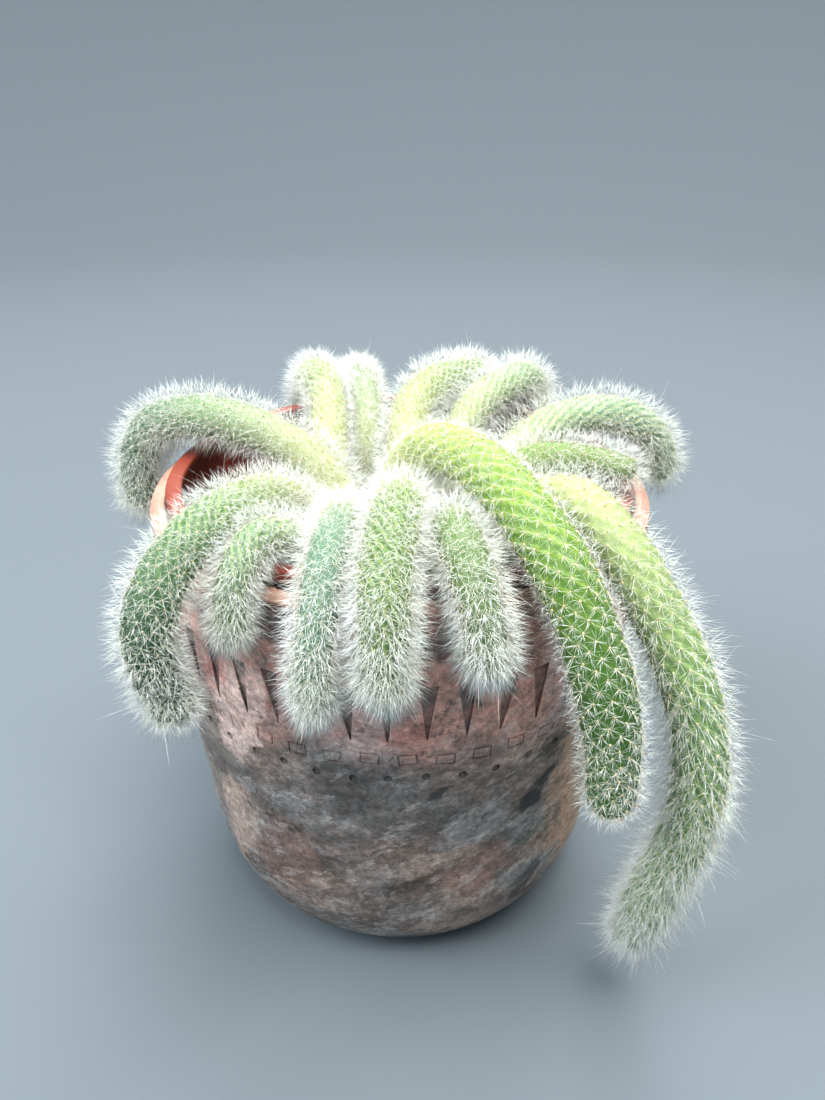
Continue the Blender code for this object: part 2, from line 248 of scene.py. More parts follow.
@dataclass(frozen=True)
class SmokedClay:
    """Burnished low-fired clay: red under the rim, smoked grey and brown below, with a painted patch of
    sunlight on the left.
    """

    name: str
    pressed: bool = False
    clouds: tuple[Cloud, ...] = (
        Cloud(tint(178, 142, 112), (66, -36, 74), (26, 42, 76), share=0.85),
        Cloud(tint(118, 108, 98), (-66, -36, 92), (24, 42, 50), share=0.7),
        # painted light: a pale patch of sunlight on the pot's left side, laid in as colour
        Cloud(tint(230, 200, 190), (-46, -62, 108), (11, 16, 30), (0, 22, -20), share=0.8),
        Cloud(tint(196, 170, 154), (-55, -50, 50), (12, 16, 34), (0, 16, 0), share=0.6),
        Cloud(tint(92, 82, 76), (-60, -44, 76), (12, 14, 10), (0, 30, 0), share=0.7),
        Cloud(tint(84, 77, 73), (-8, -78, 82), (36, 16, 12), (0, 18, 0), share=0.6),
        Cloud(tint(150, 146, 146), (22, -71, 68), (16, 12, 9), (0, -20, 0), share=0.6),
        Cloud(tint(150, 112, 100), (24, -70, 46), (14, 14, 12), share=0.5),
        Cloud(tint(118, 86, 74), (-36, -64, 50), (14, 14, 24), (0, 20, 0), share=0.6),
        Cloud(tint(56, 52, 52), (43, -57, 29), (7, 8, 12), (0, 20, 0), 0.5, 0.75),
        Cloud(tint(72, 64, 64), (-30, -74, 145), (15, 10, 6), full=0.5, share=0.8),
        Cloud(tint(66, 60, 64), (9, -79, 143.5), (12, 10, 6), full=0.5, share=0.8),
    )
    soot: tuple[Cloud, ...] = (
        Cloud(tint(12, 12, 15), (41.5, -62, 74.5), (13, 8, 5.2), (0, -33, 33), 0.5, 0.95),
        Cloud(tint(48, 46, 48), (11, -75, 85), (4.4, 5, 3.0), share=0.85),
        Cloud(tint(54, 50, 48), (-32, -67, 63.5), (3.6, 5, 6), share=0.75),
    )

    def make(self) -> Material:
        """Mix the finish.

        Returns:
            The material.
        """
        g = Graph(self.name)
        height = g.add("SeparateXYZ", {0: g.place}, 2)
        ragged = g.warped(80, 0.018)
        frayed = g.reckon("MULTIPLY_ADD", g.noise(190, 7, 0.75), 0.9, -0.45)
        raised = g.reckon("MULTIPLY_ADD", g.noise(30, 5, 0.6), 0.036, height)
        smears = g.noise(52, 6, 0.72, (0.6, 0.6, 1.7), -24, g.warped(120, 0.004))
        belly = g.shade(self.belly(g), smears, 0.66, 1.30)
        belly = g.shade(belly, g.noise(380, 4, 0.8), 0.74, 1.26)
        colour = g.mix(g.level(raised, 0.112, 0.130), belly, self.upper_band(g))
        colour = self.clouded(g, colour, self.clouds, ragged, frayed)
        colour = g.shade(colour, smears, 0.76, 1.24)
        colour = g.shade(colour, g.noise(210, 4, 0.8), 0.70, 1.32)
        wisps = g.level(g.noise(150, 5, 0.78, (0.6, 0.6, 1.6), -26), 0.56, 0.62, 0.0, 0.42)
        colour = g.mix(wisps, colour, tint(196, 188, 182))
        colour = self.clouded(g, colour, self.soot, ragged, frayed)
        colour = g.shade(colour, g.noise(520, 3, 0.8), 0.68, 1.34)
        pits = g.level(g.noise(300, 2, 0.6), 0.24, 0.29, 0.7, 0.0)
        colour = g.mix(pits, colour, tint(56, 48, 44))
        rim = g.reckon("MULTIPLY_ADD", g.noise(60, 3), 0.006, height)
        colour = g.mix(g.level(rim, 0.1535, 0.1560, 0.0, 0.7), colour, tint(184, 146, 124))
        if self.pressed:
            colour = g.mix(g.level(g.noise(240, 3), 0.3, 0.7, 0.45, 0.8), colour, tint(56, 52, 51))
        low = g.bump(g.noise(34, 3), 0.0012, 0.35)
        fine = g.bump(g.noise(60, 4, 0.5, (1, 1, 4), 12), 0.0006, 0.5, low)
        grain = g.bump(g.noise(800, 4, 0.7), 0.0003, 0.55, fine)
        rough = g.level(g.noise(48, 4), 0.3, 0.7, 0.42, 0.68)
        g.set(Base_Color=colour, Roughness=rough, Normal=grain)
        return g.material

    def clouded(self, g: Graph, colour: NodeSocket, clouds: Sequence[Cloud], ragged: NodeSocket,
                frayed: NodeSocket) -> NodeSocket:
        """Lay clouds over a colour.

        Args:
            g: the material's nodes.
            colour: what they lie on.
            clouds: the patches, the first one lowest.
            ragged: shaken position that tears their shape.
            frayed: what breaks their edges up.

        Returns:
            The clouded colour.
        """
        for cloud in clouds:
            ball = g.reckon("ADD", g.spot(cloud.middle, cloud.reach, cloud.turn, ragged), frayed)
            colour = g.mix(g.level(ball, 0.03, cloud.full, 0.0, cloud.share), colour, cloud.colour)
        return colour

    def belly(self, g: Graph) -> NodeSocket:
        """Mottled grey and umber of the lower body.

        Args:
            g: the material's nodes.

        Returns:
            The colour.
        """
        broad = g.level(g.noise(24, 5, 0.6, (0.8, 0.8, 1.5), 20), 0.40, 0.60)
        mixed = g.mix(broad, tint(126, 123, 121), tint(140, 122, 112))
        umber = g.level(g.noise(58, 7, 0.7, (0.8, 0.8, 1.4), -20), 0.50, 0.60, 0.0, 0.75)
        return g.mix(umber, mixed, tint(92, 76, 66))

    def upper_band(self, g: Graph) -> NodeSocket:
        """Terracotta red with a thin grey bloom.

        Args:
            g: the material's nodes.

        Returns:
            The colour.
        """
        red = g.mix(g.level(g.noise(70, 5), 0.35, 0.65), tint(168, 118, 107), tint(208, 154, 139))
        bloom = g.level(g.noise(38, 6, 0.66, at=g.warped(60, 0.01)), 0.47, 0.62, 0.0, 0.7)
        return g.mix(bloom, red, tint(186, 166, 162))


@dataclass(frozen=True)
class PotPlastic:
    """Terracotta-orange plastic with a faint moulding grain, dusty film and painted shade on the inner
    wall.
    """

    name: str = "terracotta_plastic"

    def make(self) -> Material:
        """Mix the finish.

        Returns:
            The material.
        """
        g = Graph(self.name)
        film = g.level(g.noise(45, 5, 0.6), 0.4, 0.7, 0.0, 0.28)
        colour = g.mix(g.noise(14, 2), tint(124, 46, 32), tint(146, 62, 44))
        colour = g.mix(film, colour, tint(154, 96, 80))
        # painted shade: the inner wall made a darker red, as if in shadow
        painted_shade = g.mix(g.level(g.noise(90, 4), 0.35, 0.7), tint(84, 24, 20), tint(116, 42, 30))
        colour = g.mix(g.attribute("inside"), colour, painted_shade)
        rough = g.level(g.noise(70, 4), 0.3, 0.7, 0.36, 0.52)
        rings = g.bump(g.noise(40, 2, 0.5, (0.2, 0.2, 8)), 0.0002, 0.3)
        grain = g.bump(g.noise(1400, 2), 0.00008, 0.4, rings)
        g.set(Base_Color=colour, Roughness=rough, Normal=grain, Subsurface_Weight=0.06,
              Subsurface_Radius=(1.0, 0.35, 0.2), Subsurface_Scale=0.001)
        return g.material


@dataclass(frozen=True)
class PottingSoil:
    """Dark gritty soil; the crumbs of bark and stone read their own tone."""

    name: str
    crumbs: bool = False

    def make(self) -> Material:
        """Mix the finish.

        Returns:
            The material.
        """
        g = Graph(self.name)
        dark = g.mix(g.level(g.noise(300, 5, 0.7), 0.35, 0.65), tint(38, 30, 25), tint(82, 66, 54))
        if self.crumbs:
            tone = g.attribute("tone")
            bark = g.mix(g.level(tone, 0.35, 0.8), dark, tint(126, 92, 66))
            dark = g.mix(g.level(tone, 0.86, 0.93), bark, tint(205, 198, 184))
        dust = g.bump(g.noise(900, 4, 0.7), 0.0006, 0.8)
        g.set(Base_Color=dark, Roughness=0.95, Normal=dust)
        return g.material


@dataclass(frozen=True)
class LivingSkin:
    """Waxy green skin: painted shade in its grooves, painted sunlit yellow where it leaves the crown.

    The hanging shade is how far the hanging part is darkened to a dark green: painted shade below the rim.
    """

    name: str
    colour: Colour
    hanging_shade: float

    def make(self) -> Material:
        """Mix the finish.

        Returns:
            The material.
        """
        g = Graph(self.name)
        # dark green for the painted shade in the grooves, and also for the random mottling
        groove_shade_and_mottle = (self.colour[0] * 0.30, self.colour[1] * 0.42, self.colour[2] * 0.40)
        hanging_shade_green = (self.colour[0] * 0.10, self.colour[1] * 0.20, self.colour[2] * 0.25)
        mottled = g.level(g.noise(120, 4, 0.6), 0.3, 0.7, 0.0, 0.45)
        # painted shade: darker in the grooves between the tubercles
        colour = g.mix(g.level(g.attribute("relief"), 0.1, 0.85), groove_shade_and_mottle, self.colour)
        colour = g.mix(mottled, colour, groove_shade_and_mottle)
        # painted shade: the hanging part darkened towards its tip, as if in shadow below the rim
        colour = g.mix(g.level(g.attribute("along"), 0.44, 0.80, 0.0, self.hanging_shade), colour, hanging_shade_green)
        # painted light: a sunlit pale yellow near the crown
        crown = g.level(g.attribute("along"), 0.05, 0.55, 0.55, 0.0)
        colour = g.mix(crown, colour, tint(212, 209, 152))
        rough = g.level(g.noise(200, 3), 0.3, 0.7, 0.38, 0.55)
        waxy = g.bump(g.noise(1100, 3, 0.6), 0.0001, 0.5)
        g.set(Base_Color=colour, Roughness=rough, Normal=waxy, Specular_IOR_Level=0.25)
        g.set(Subsurface_Weight=0.15, Subsurface_Radius=(0.5, 1.0, 0.3), Subsurface_Scale=0.002)
        return g.material


@dataclass(frozen=True)
class AreoleWool:
    """Cream to amber wool of the small pads that the spines stand on."""

    name: str = "areole_wool"

    def make(self) -> Material:
        """Mix the finish.

        Returns:
            The material.
        """
        g = Graph(self.name)
        amber = g.level(g.noise(90, 3), 0.42, 0.66)
        colour = g.mix(amber, tint(244, 236, 204), tint(232, 200, 146))
        felt = g.bump(g.noise(3000, 2), 0.0001, 0.6)
        g.set(Base_Color=colour, Roughness=0.85, Normal=felt)
        return g.material


@dataclass(frozen=True)
class WhiteSpine:
    """Thin glassy-white spines, cream at the root."""

    name: str = "white_spines"

    def make(self) -> Material:
        """Mix the finish.

        Returns:
            The material.
        """
        g = Graph(self.name)
        tone = g.level(g.noise(60, 3), 0.35, 0.65)
        white = g.mix(tone, tint(244, 249, 238), tint(250, 253, 250))
        colour = g.mix(g.level(g.attribute("along"), 0.0, 0.28), tint(236, 222, 176), white)
        rough = g.level(g.noise(150, 2), 0.3, 0.7, 0.42, 0.58)
        g.set(Base_Color=colour, Roughness=rough, Sheen_Weight=0.35, Sheen_Roughness=0.5)
        return g.material


@dataclass(frozen=True)
class PaleFloor:
    """Plain matt floor."""

    name: str = "studio_floor"
    colour: Colour = tint(100, 110, 116)

    def make(self) -> Material:
        """Mix the finish.

        Returns:
            The material.
        """
        g = Graph(self.name)
        g.set(Base_Color=self.colour, Roughness=0.9)
        return g.material


# Work at the bench


def deselect() -> None:
    """Leave nothing selected."""
    bpy.ops.object.select_all(action="DESELECT")


def choose(obj: Object) -> None:
    """Make an object the active one and the only one selected.

    Args:
        obj: the object.
    """
    deselect()
    bpy.context.view_layer.objects.active = obj
    obj.select_set(True)


def begin(add: Callable[..., set[str]], **sizes: object) -> Object:
    """Add a primitive and leave it alone selected.

    Args:
        add: the operator that adds it.
        sizes: its sizes and place.

    Returns:
        The primitive.
    """
    deselect()
    add(**sizes)
    return bpy.context.object


def linked(name: str, data: ID) -> Object:
    """A new object for some data, linked to the scene.

    Args:
        name: name of the object.
        data: its mesh, lamp or camera.

    Returns:
        The object.
    """
    obj = bpy.data.objects.new(name, data)
    bpy.context.scene.collection.objects.link(obj)
    return obj


def edit(obj: Object) -> None:
    """Open an object for editing with all of it selected.

    Args:
        obj: the object.
    """
    choose(obj)
    bpy.ops.object.mode_set(mode="EDIT")
    bpy.ops.mesh.select_all(action="SELECT")


def close() -> None:
    """Leave edit mode and put the active object's place into its mesh."""
    bpy.ops.object.mode_set(mode="OBJECT")
    bpy.ops.object.transform_apply(location=True, rotation=True, scale=True)


def pick(obj: Object, test: Callable[[Vector], bool]) -> None:
    """Select the points of an open object that pass a test.

    Args:
        obj: the object in edit mode.
        test: says whether the point at a place is wanted.
    """
    bpy.ops.mesh.select_all(action="DESELECT")
    bpy.ops.mesh.select_mode(type="VERT")
    shape = bmesh.from_edit_mesh(obj.data)
    for vert in shape.verts:
        vert.select_set(test(vert.co))
    shape.select_flush_mode()
    bmesh.update_edit_mesh(obj.data)


def reshape(obj: Object, move: Callable[[np.ndarray], np.ndarray]) -> None:
    """Move all points of a finished mesh at once.

    Args:
        obj: the object.
        move: takes the points as rows and returns them moved.
    """
    points = np.empty(len(obj.data.vertices) * 3)
    obj.data.vertices.foreach_get("co", points)
    obj.data.vertices.foreach_set("co", move(points.reshape(-1, 3)).ravel())
    obj.data.update()


def use_modifier(obj: Object, kind: str, **settings: object) -> None:
    """Put one modifier on an object and apply it.

    Args:
        obj: the object.
        kind: the modifier's type.
        settings: its values by name.
    """
    choose(obj)
    modifier = obj.modifiers.new(kind.lower(), kind)
    for name, value in settings.items():
        setattr(modifier, name, value)
    bpy.ops.object.modifier_apply(modifier=modifier.name)


def turn_shape(name: str, outline: Sequence[tuple[float, float]], sides: int) -> Object:
    """Draw an outline point by point and spin it round the pot's axis.

    Args:
        name: name of the object.
        outline: radius and height in metres, from the axis under the base to the axis inside.
        sides: steps of the spin.

    Returns:
        The closed turned body.
    """
    obj = begin(bpy.ops.mesh.primitive_plane_add, size=MM)
    obj.name = obj.data.name = name
    edit(obj)
    bpy.ops.mesh.merge(type="CENTER")
    bpy.ops.transform.translate(value=(outline[0][0], 0.0, outline[0][1]))
    for (radius, height), (next_radius, next_height) in zip(outline, outline[1:]):
        step = (next_radius - radius, 0.0, next_height - height)
        bpy.ops.mesh.extrude_vertices_move(TRANSFORM_OT_translate={"value": step})
    bpy.ops.mesh.select_all(action="SELECT")
    bpy.ops.mesh.spin(steps=sides, angle=2 * math.pi, center=(0, 0, 0), axis=(0, 0, 1))
    bpy.ops.mesh.select_all(action="SELECT")
    bpy.ops.mesh.remove_doubles(threshold=0.02 * MM)
    bpy.ops.mesh.normals_make_consistent(inside=False)
    close()
    return obj


def smooth_line(points: Sequence[tuple[float, float]], parts: int) -> list[tuple[float, float]]:
    """A soft curve through points of radius and height.

    Args:
        points: what it passes through, in millimetres.
        parts: steps between two points.

    Returns:
        The curve's points in metres.
    """
    known = [points[0], *points, points[-1]]
    line = []
    for before, start, end, after in zip(known, known[1:], known[2:], known[3:]):
        for index in range(parts):
            t = index / parts
            weights = (-t + 2 * t**2 - t**3, 2 - 5 * t**2 + 3 * t**3, t + 4 * t**2 - 3 * t**3, t**3 - t**2)
            line.append(tuple(
                sum(weight * point[axis] for weight, point in zip(weights, (before, start, end, after)))
                * 0.5 * MM for axis in (0, 1)
            ))
    line.append((points[-1][0] * MM, points[-1][1] * MM))
    return line


def dress(obj: Object, finishes: Sequence[Material], angle: float = 180.0) -> None:
    """Give a piece its materials and smooth shading.

    Args:
        obj: the piece.
        finishes: a material for each slot that has none yet.
        angle: edges sharper than this many degrees stay sharp.
    """
    for finish in finishes:
        obj.data.materials.append(finish)
    choose(obj)
    bpy.ops.object.shade_smooth_by_angle(angle=math.radians(angle))


def enter(obj: Object, node: str, replaces: bool = True) -> None:
    """Attach a finished piece to the root body and log it; the solid it replaces is hidden.

    Args:
        obj: the piece.
        node: the solid whose finish it takes.
        replaces: whether it also stands for that solid.
    """
    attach(obj, "root")
    if replaces:
        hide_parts(node)
    triangles = sum(len(face.vertices) - 2 for face in obj.data.polygons)
    log.info("%s: %d triangles", obj.name, triangles)


@dataclass(frozen=True)
class Pattern:
    """A small shape that is modelled once and then laid many times."""

    points: np.ndarray
    faces: np.ndarray

    @classmethod
    def taken_from(cls, obj: Object) -> "Pattern":
        """Read a modelled object as triangles and clear it away.

        Args:
            obj: the object, at its final size.

        Returns:
            Its shape.
        """
        edit(obj)
        bpy.ops.mesh.quads_convert_to_tris()
        close()
        points = np.array([vert.co for vert in obj.data.vertices])
        faces = np.array([face.vertices for face in obj.data.polygons])
        bpy.data.objects.remove(obj, do_unlink=True)
        return cls(points, faces)

    def lay(self, name: str, places: np.ndarray, bases: np.ndarray,
            bends: np.ndarray | None = None) -> Object:
        """Lay copies and join them to one mesh.

        Args:
            name: name of the object.
            places: where each copy's origin goes.
            bases: three axes for each copy, one in each row, with its size in their lengths.
            bends: how far each copy's far end is bent aside.

        Returns:
            The object with all copies.
        """
        count, corners = len(places), len(self.points)
        laid = np.einsum("kj,njc->nkc", self.points, bases) + places[:, None, :]
        if bends is not None:
            laid = laid + bends[:, None, :] * (self.points[:, 2] ** 2)[None, :, None]
        faces = self.faces[None, :, :] + (np.arange(count) * corners)[:, None, None]
        return mesh_object(name, laid.reshape(-1, 3), faces.reshape(-1, 3))


def mesh_object(name: str, points: np.ndarray, faces: np.ndarray) -> Object:
    """An object from rows of points and rows of three corners.

    Args:
        name: name of the object.
        points: its points.
        faces: its triangles.

    Returns:
        The object, linked to the scene.
    """
    mesh = bpy.data.meshes.new(name)
    mesh.vertices.add(len(points))
    mesh.vertices.foreach_set("co", points.astype(np.float32).ravel())
    mesh.loops.add(faces.size)
    mesh.loops.foreach_set("vertex_index", faces.astype(np.int32).ravel())
    mesh.polygons.add(len(faces))
    mesh.polygons.foreach_set("loop_start", np.arange(0, faces.size, 3, dtype=np.int32))
    mesh.update(calc_edges=True)
    return linked(name, mesh)


def ring_faces(rings: int, columns: int) -> np.ndarray:
    """Triangles that join rings of points, each ring to the next.

    Args:
        rings: number of rings.
        columns: points in a ring.

    Returns:
        Rows of three corners.
    """
    faces = []
    for ring in range(rings - 1):
        for column in range(columns):
            first, second = ring * columns + column, ring * columns + (column + 1) % columns
            faces += [(first, second, second + columns), (first, second + columns, first + columns)]
    return np.array(faces)


def unit(rows: np.ndarray) -> np.ndarray:
    """Rows of vectors brought to the length 1."""
    return rows / np.linalg.norm(rows, axis=1)[:, None]


def carry(obj: Object, name: str, values: np.ndarray) -> None:
    """Let the mesh carry a number at each point for its finish."""
    layer = obj.data.attributes.new(name, "FLOAT", "POINT")
    layer.data.foreach_set("value", values.astype(np.float32))


# Pots and soil


class Mark(Enum):
    """The three tools that were pressed into the soft clay."""

    WEDGE = "wedge"
    TILE = "tile"
    DOT = "dot"


@dataclass
class ClayPot:
    """Hand-made clay pot with a thick rounded rim and a pressed band.

    The outside is radius and height in mm from the rim down. The wedge tool is given by its
    depth, width and height and by how far out its middle stands, the tile tool by its width
    and height and the breadth and thickness of its frame, and the dot tool by its radius,
    length, tilt in degrees and depth of print, all in mm. Each row of the band has its height
    in mm, its place within a step and how much its marks lean in degrees.
    """

    height: float = 154 * MM
    wall: float = 5.2
    floor: float = 12.0
    sides: int = 180
    lump: float = 0.7 * MM
    marks: int = 45
    wedge: tuple[float, float, float] = (6.0, 5.2, 19.5)
    wedge_out: float = 2.45
    tile: tuple[float, float] = (5.7, 4.4)
    tile_frame: tuple[float, float] = (0.55, 0.9)
    dot: tuple[float, float, float, float] = (1.3, 5.0, 26.0, 0.9)
    band: tuple[tuple[Mark, float, float, float], ...] = (
        (Mark.WEDGE, 119.2, 0.5, 2.5), (Mark.TILE, 101.8, 0.0, 5.0), (Mark.DOT, 94.7, 0.5, 20.0),
    )
    outside: tuple[tuple[float, float], ...] = (
        (77.2, 154.0), (79.3, 152.8), (80.0, 150.0), (79.4, 133.0), (78.2, 112.0), (75.6, 84.0),
        (73.6, 58.0), (72.2, 36.0), (69.4, 20.0), (64.4, 9.5), (58.2, 3.4), (51.0, 0.0),
    )

    def outside_radius(self, height: float) -> float:
        """Outer radius in metres at a height in millimetres."""
        radii, heights = zip(*self.outside[::-1])
        return float(np.interp(height, heights, radii)) * MM

    def outline(self) -> list[tuple[float, float]]:
        """The wall's section: base, outer side, rim and inner side.

        Returns:
            Radii and heights in metres.
        """
        outer = smooth_line(self.outside[::-1], 5)
        inner = [(75.6, 153.6), (74.9, 152.4)]
        inner += [(self.outside_radius(z) / MM - self.wall - 1.2, z) for z in (132, 84, 36)]
        inner += [(60.5, 19.0), (52.0, self.floor), (0.0, self.floor)]
        return [(0.0, 0.0), (30 * MM, 0.0), *outer, *[(r * MM, z * MM) for r, z in inner]]

    def bulge(self, turn: np.ndarray | float, share: np.ndarray | float) -> np.ndarray | float:
        """How far the hand-built wall stands out at a turn and a share of the height."""
        swell = np.sin(2 * turn + 0.9) + 0.5 * np.sin(3 * turn + 6.0 * share)
        return self.lump * np.sin(np.pi * share) * swell

    def uneven(self, points: np.ndarray) -> np.ndarray:
        """Shallow hollows of a hand-built wall, and a rim that isn't quite level.

        Args:
            points: the turned body's points as rows.

        Returns:
            The points moved.
        """
        radius = np.hypot(points[:, 0], points[:, 1])
        turn = np.arctan2(points[:, 1], points[:, 0])
        share = np.clip(points[:, 2] / self.height, 0.0, 1.0)
        ripple = 0.16 * MM * np.sin(9 * turn + 31 * share) + 0.12 * MM * np.sin(14 * turn - 40 * share)
        push = self.bulge(turn, share) + ripple * eased((share - 0.05) * 6)
        moved = points.copy()
        factor = np.where(radius > 62 * MM, 1 + push / np.maximum(radius, MM), 1.0)
        moved[:, :2] *= factor[:, None]
        lift = 0.25 * MM * np.sin(3 * turn + 1.0) + 0.15 * MM * np.sin(7 * turn)
        moved[:, 2] += lift * eased((share - 0.96) * 25)
        return moved

    def tool(self, mark: Mark) -> Pattern:
        """One pressing tool, outwards along +X and up along +Z, in metres.

        Args:
            mark: which tool.

        Returns:
            Its shape.
        """
        if mark is Mark.DOT:
            radius, length, tilt, depth = self.dot
            obj = begin(bpy.ops.mesh.primitive_cylinder_add, vertices=16, radius=radius * MM,
                        depth=length * MM)
            obj.rotation_euler = (0, math.radians(90 - tilt), 0)
            obj.location = (1.6 * MM, 0, 0)
            edit(obj)
            bpy.ops.mesh.bisect(plane_co=(-depth * MM, 0, 0), plane_no=(1, 0, 0), use_fill=True,
                                clear_inner=True)
            close()
        elif mark is Mark.WEDGE:
            obj = begin(bpy.ops.mesh.primitive_cube_add, size=1, scale=[side * MM for side in self.wedge],
                        location=(self.wedge_out * MM, 0, 0))
            edit(obj)
            pick(obj, lambda place: place.z < 0)
            bpy.ops.transform.resize(value=(1, 0.07, 1))
            pick(obj, lambda place: place.z < 0 and place.x < 0)
            bpy.ops.transform.translate(value=(-0.35 * MM, 0, 0))
            close()
        else:
            obj = begin(bpy.ops.mesh.primitive_plane_add, size=1)
            obj.scale = (self.tile[0] * MM, self.tile[1] * MM, 1)
            obj.rotation_euler = (math.radians(90), 0, math.radians(90))
            edit(obj)
            close()
            edit(obj)
            bpy.ops.mesh.inset(thickness=self.tile_frame[0] * MM)
            bpy.ops.mesh.delete(type="FACE")
            close()
            use_modifier(obj, "SOLIDIFY", thickness=self.tile_frame[1] * MM, offset=0.0)
        return Pattern.taken_from(obj)

    def pressed(self, mark: Mark, level: float, shift: float, slant: float) -> Object:
        """All copies of one tool round the pot.

        Args:
            mark: which tool.
            level: height of its middle in millimetres.
            shift: its place within a step of the band, 0 to 1.
            slant: how much the copies lean, in degrees.

        Returns:
            The cutter.
        """
        slope = math.atan2(self.outside_radius(level + 9) - self.outside_radius(level - 9), 18 * MM)
        places, bases = [], []
        for index in range(self.marks):
            turn = 2 * math.pi * (index + shift) / self.marks
            radius = self.outside_radius(level) + self.bulge(turn, level * MM / self.height)
            lean = math.radians(slant) * math.sin(2.4 * index + level)
            place = Matrix.Rotation(turn, 3, "Z") @ Vector((radius, 0, level * MM))
            basis = Matrix.Rotation(turn, 3, "Z") @ Matrix.Rotation(slope, 3, "Y")
            basis = basis @ Matrix.Rotation(lean, 3, "X")
            places.append(place + Vector((0, 0, 0.5 * MM * math.sin(1.7 * index + level))))
            bases.append(basis.transposed())
        return self.tool(mark).lay("cutter_" + mark.value, np.array(places), np.array(bases))

    def build(self) -> None:
        """Model, press, dress and enter the pot."""
        wall, marks = SmokedClay("smoked_clay").make(), SmokedClay("pressed_clay", True).make()
        pot = turn_shape("clay_pot_body", self.outline(), self.sides)
        pot.data.materials.append(wall)
        reshape(pot, self.uneven)
        for mark, level, shift, slant in self.band:
            cutter = self.pressed(mark, level, shift, slant)
            cutter.data.materials.append(wall if mark is Mark.TILE else marks)
            use_modifier(pot, "BOOLEAN", operation="DIFFERENCE", object=cutter, solver="EXACT",
                         material_mode="TRANSFER")
            bpy.data.objects.remove(cutter, do_unlink=True)
        dress(pot, [], 40)
        enter(pot, "clay_pot")


@dataclass
class NurseryPot:
    """Thin plastic pot with a rolled lip, collar and tapered wall.

    The painted shade darkens the inner wall within a radius, between two heights in mm.
    """

    sides: int = 144
    floor: float = 12.3
    painted_shade: tuple[float, float, float] = (70.6, 17.0, 156.0)
    outside: tuple[tuple[float, float], ...] = (
        (70.4, 135.0), (72.0, 138.0), (72.4, 153.6), (72.9, 154.4), (74.1, 154.5), (74.5, 154.9),
        (74.5, 157.2), (74.2, 157.8), (73.6, 158.0),
    )
    inside: tuple[tuple[float, float], ...] = (
        (70.5, 158.0), (69.9, 157.8), (69.6, 157.3), (69.8, 155.4), (70.4, 154.0), (70.2, 139.0),
        (68.6, 136.0),
    )

    def outline(self) -> list[tuple[float, float]]:
        """The wall's section: base, outer side, lip and inner side.

        Returns:
            Radii and heights in metres.
        """
        low = self.floor
        line = [(0.0, low), (52.0, low), (54.0, low + 2), *self.outside, *self.inside]
        line += [(52.2, low + 2.6), (51.4, low + 1.8), (0.0, low + 1.8)]
        return [(radius * MM, height * MM) for radius, height in line]

    def build(self) -> None:
        """Model, dress and enter the pot."""
        pot = turn_shape("nursery_pot_body", self.outline(), self.sides)
        places = np.array([vert.co for vert in pot.data.vertices])
        # where the painted shade lies on the inner wall
        radius, low, high = (size * MM for size in self.painted_shade)
        inner = (np.hypot(places[:, 0], places[:, 1]) < radius) & (places[:, 2] < high)
        carry(pot, "inside", inner & (places[:, 2] > low))
        dress(pot, [PotPlastic().make()], 35)
        enter(pot, "nursery_pot")


@dataclass
class SoilBed:
    """Soil with a crumbly top, domed a little, and loose bits of bark and stone on it; in mm."""

    floor: float = 14.4
    top: float = 139.0
    dome: float = 1.5
    rim: float = 66.8
    sides: int = 108
    crumbs: int = 420
    seed: int = 5

    def outline(self) -> list[tuple[float, float]]:
        """The section: underside, side and a top with rings close enough for its relief.

        Returns:
            Radii and heights in metres.
        """
        line = [(0.0, self.floor), (50.6, self.floor), (51.6, self.floor + 2), (67.4, 131.0), (66.9, 138.2)]
        for radius in np.linspace(66.0, 2.0, 42):
            line.append((radius, self.top + self.dome * (1 - radius / self.rim) ** 0.5))
        line.append((0.0, self.top + self.dome))
        return [(float(radius) * MM, float(height) * MM) for radius, height in line]

    def crumble(self, points: np.ndarray) -> np.ndarray:
        """Uneven surface of the top alone.

        Args:
            points: the soil's points as rows.

        Returns:
            The points moved.
        """
        moved = points.copy()
        for row in moved:
            if row[2] > (self.top - 0.5) * MM and math.hypot(row[0], row[1]) < 66.5 * MM:
                place = Vector(row)
                row[2] += 1.3 * MM * noise.noise(place * 130) + 0.9 * MM * noise.noise(place * 420)
        return moved

    def build(self) -> None:
        """Model, dress and enter the soil and its crumbs."""
        bed = turn_shape("soil_bed", self.outline(), self.sides)
        reshape(bed, self.crumble)
        dress(bed, [PottingSoil("potting_soil").make()])
        enter(bed, "soil")
        crumb = begin(bpy.ops.mesh.primitive_ico_sphere_add, subdivisions=1, radius=1.0)
        crumb.data.transform(Matrix.Diagonal((1.0, 0.8, 0.62, 1.0)))
        reshape(crumb, lambda rows: rows * (1 + 0.28 * np.sin(rows[:, [1, 2, 0]] * 5.0)))
        pattern = Pattern.taken_from(crumb)
        dice = np.random.default_rng(self.seed)
        reach = 65 * MM * np.sqrt(dice.random(self.crumbs))
        turn = 2 * math.pi * dice.random(self.crumbs)
        size = (0.5 + 1.4 * dice.random(self.crumbs) ** 2.5) * MM
        places = np.stack([reach * np.cos(turn), reach * np.sin(turn), np.full(self.crumbs, 140.1 * MM)], 1)
        axes = np.linalg.qr(dice.normal(size=(self.crumbs, 3, 3)))[0]
        axes *= np.sign(np.linalg.det(axes))[:, None, None]
        loose = pattern.lay("soil_crumbs", places, axes * size[:, None, None])
        carry(loose, "tone", np.repeat(dice.random(self.crumbs), len(pattern.points)))
        dress(loose, [PottingSoil("soil_crumb", True).make()])
        enter(loose, "soil", replaces=False)


# Stems


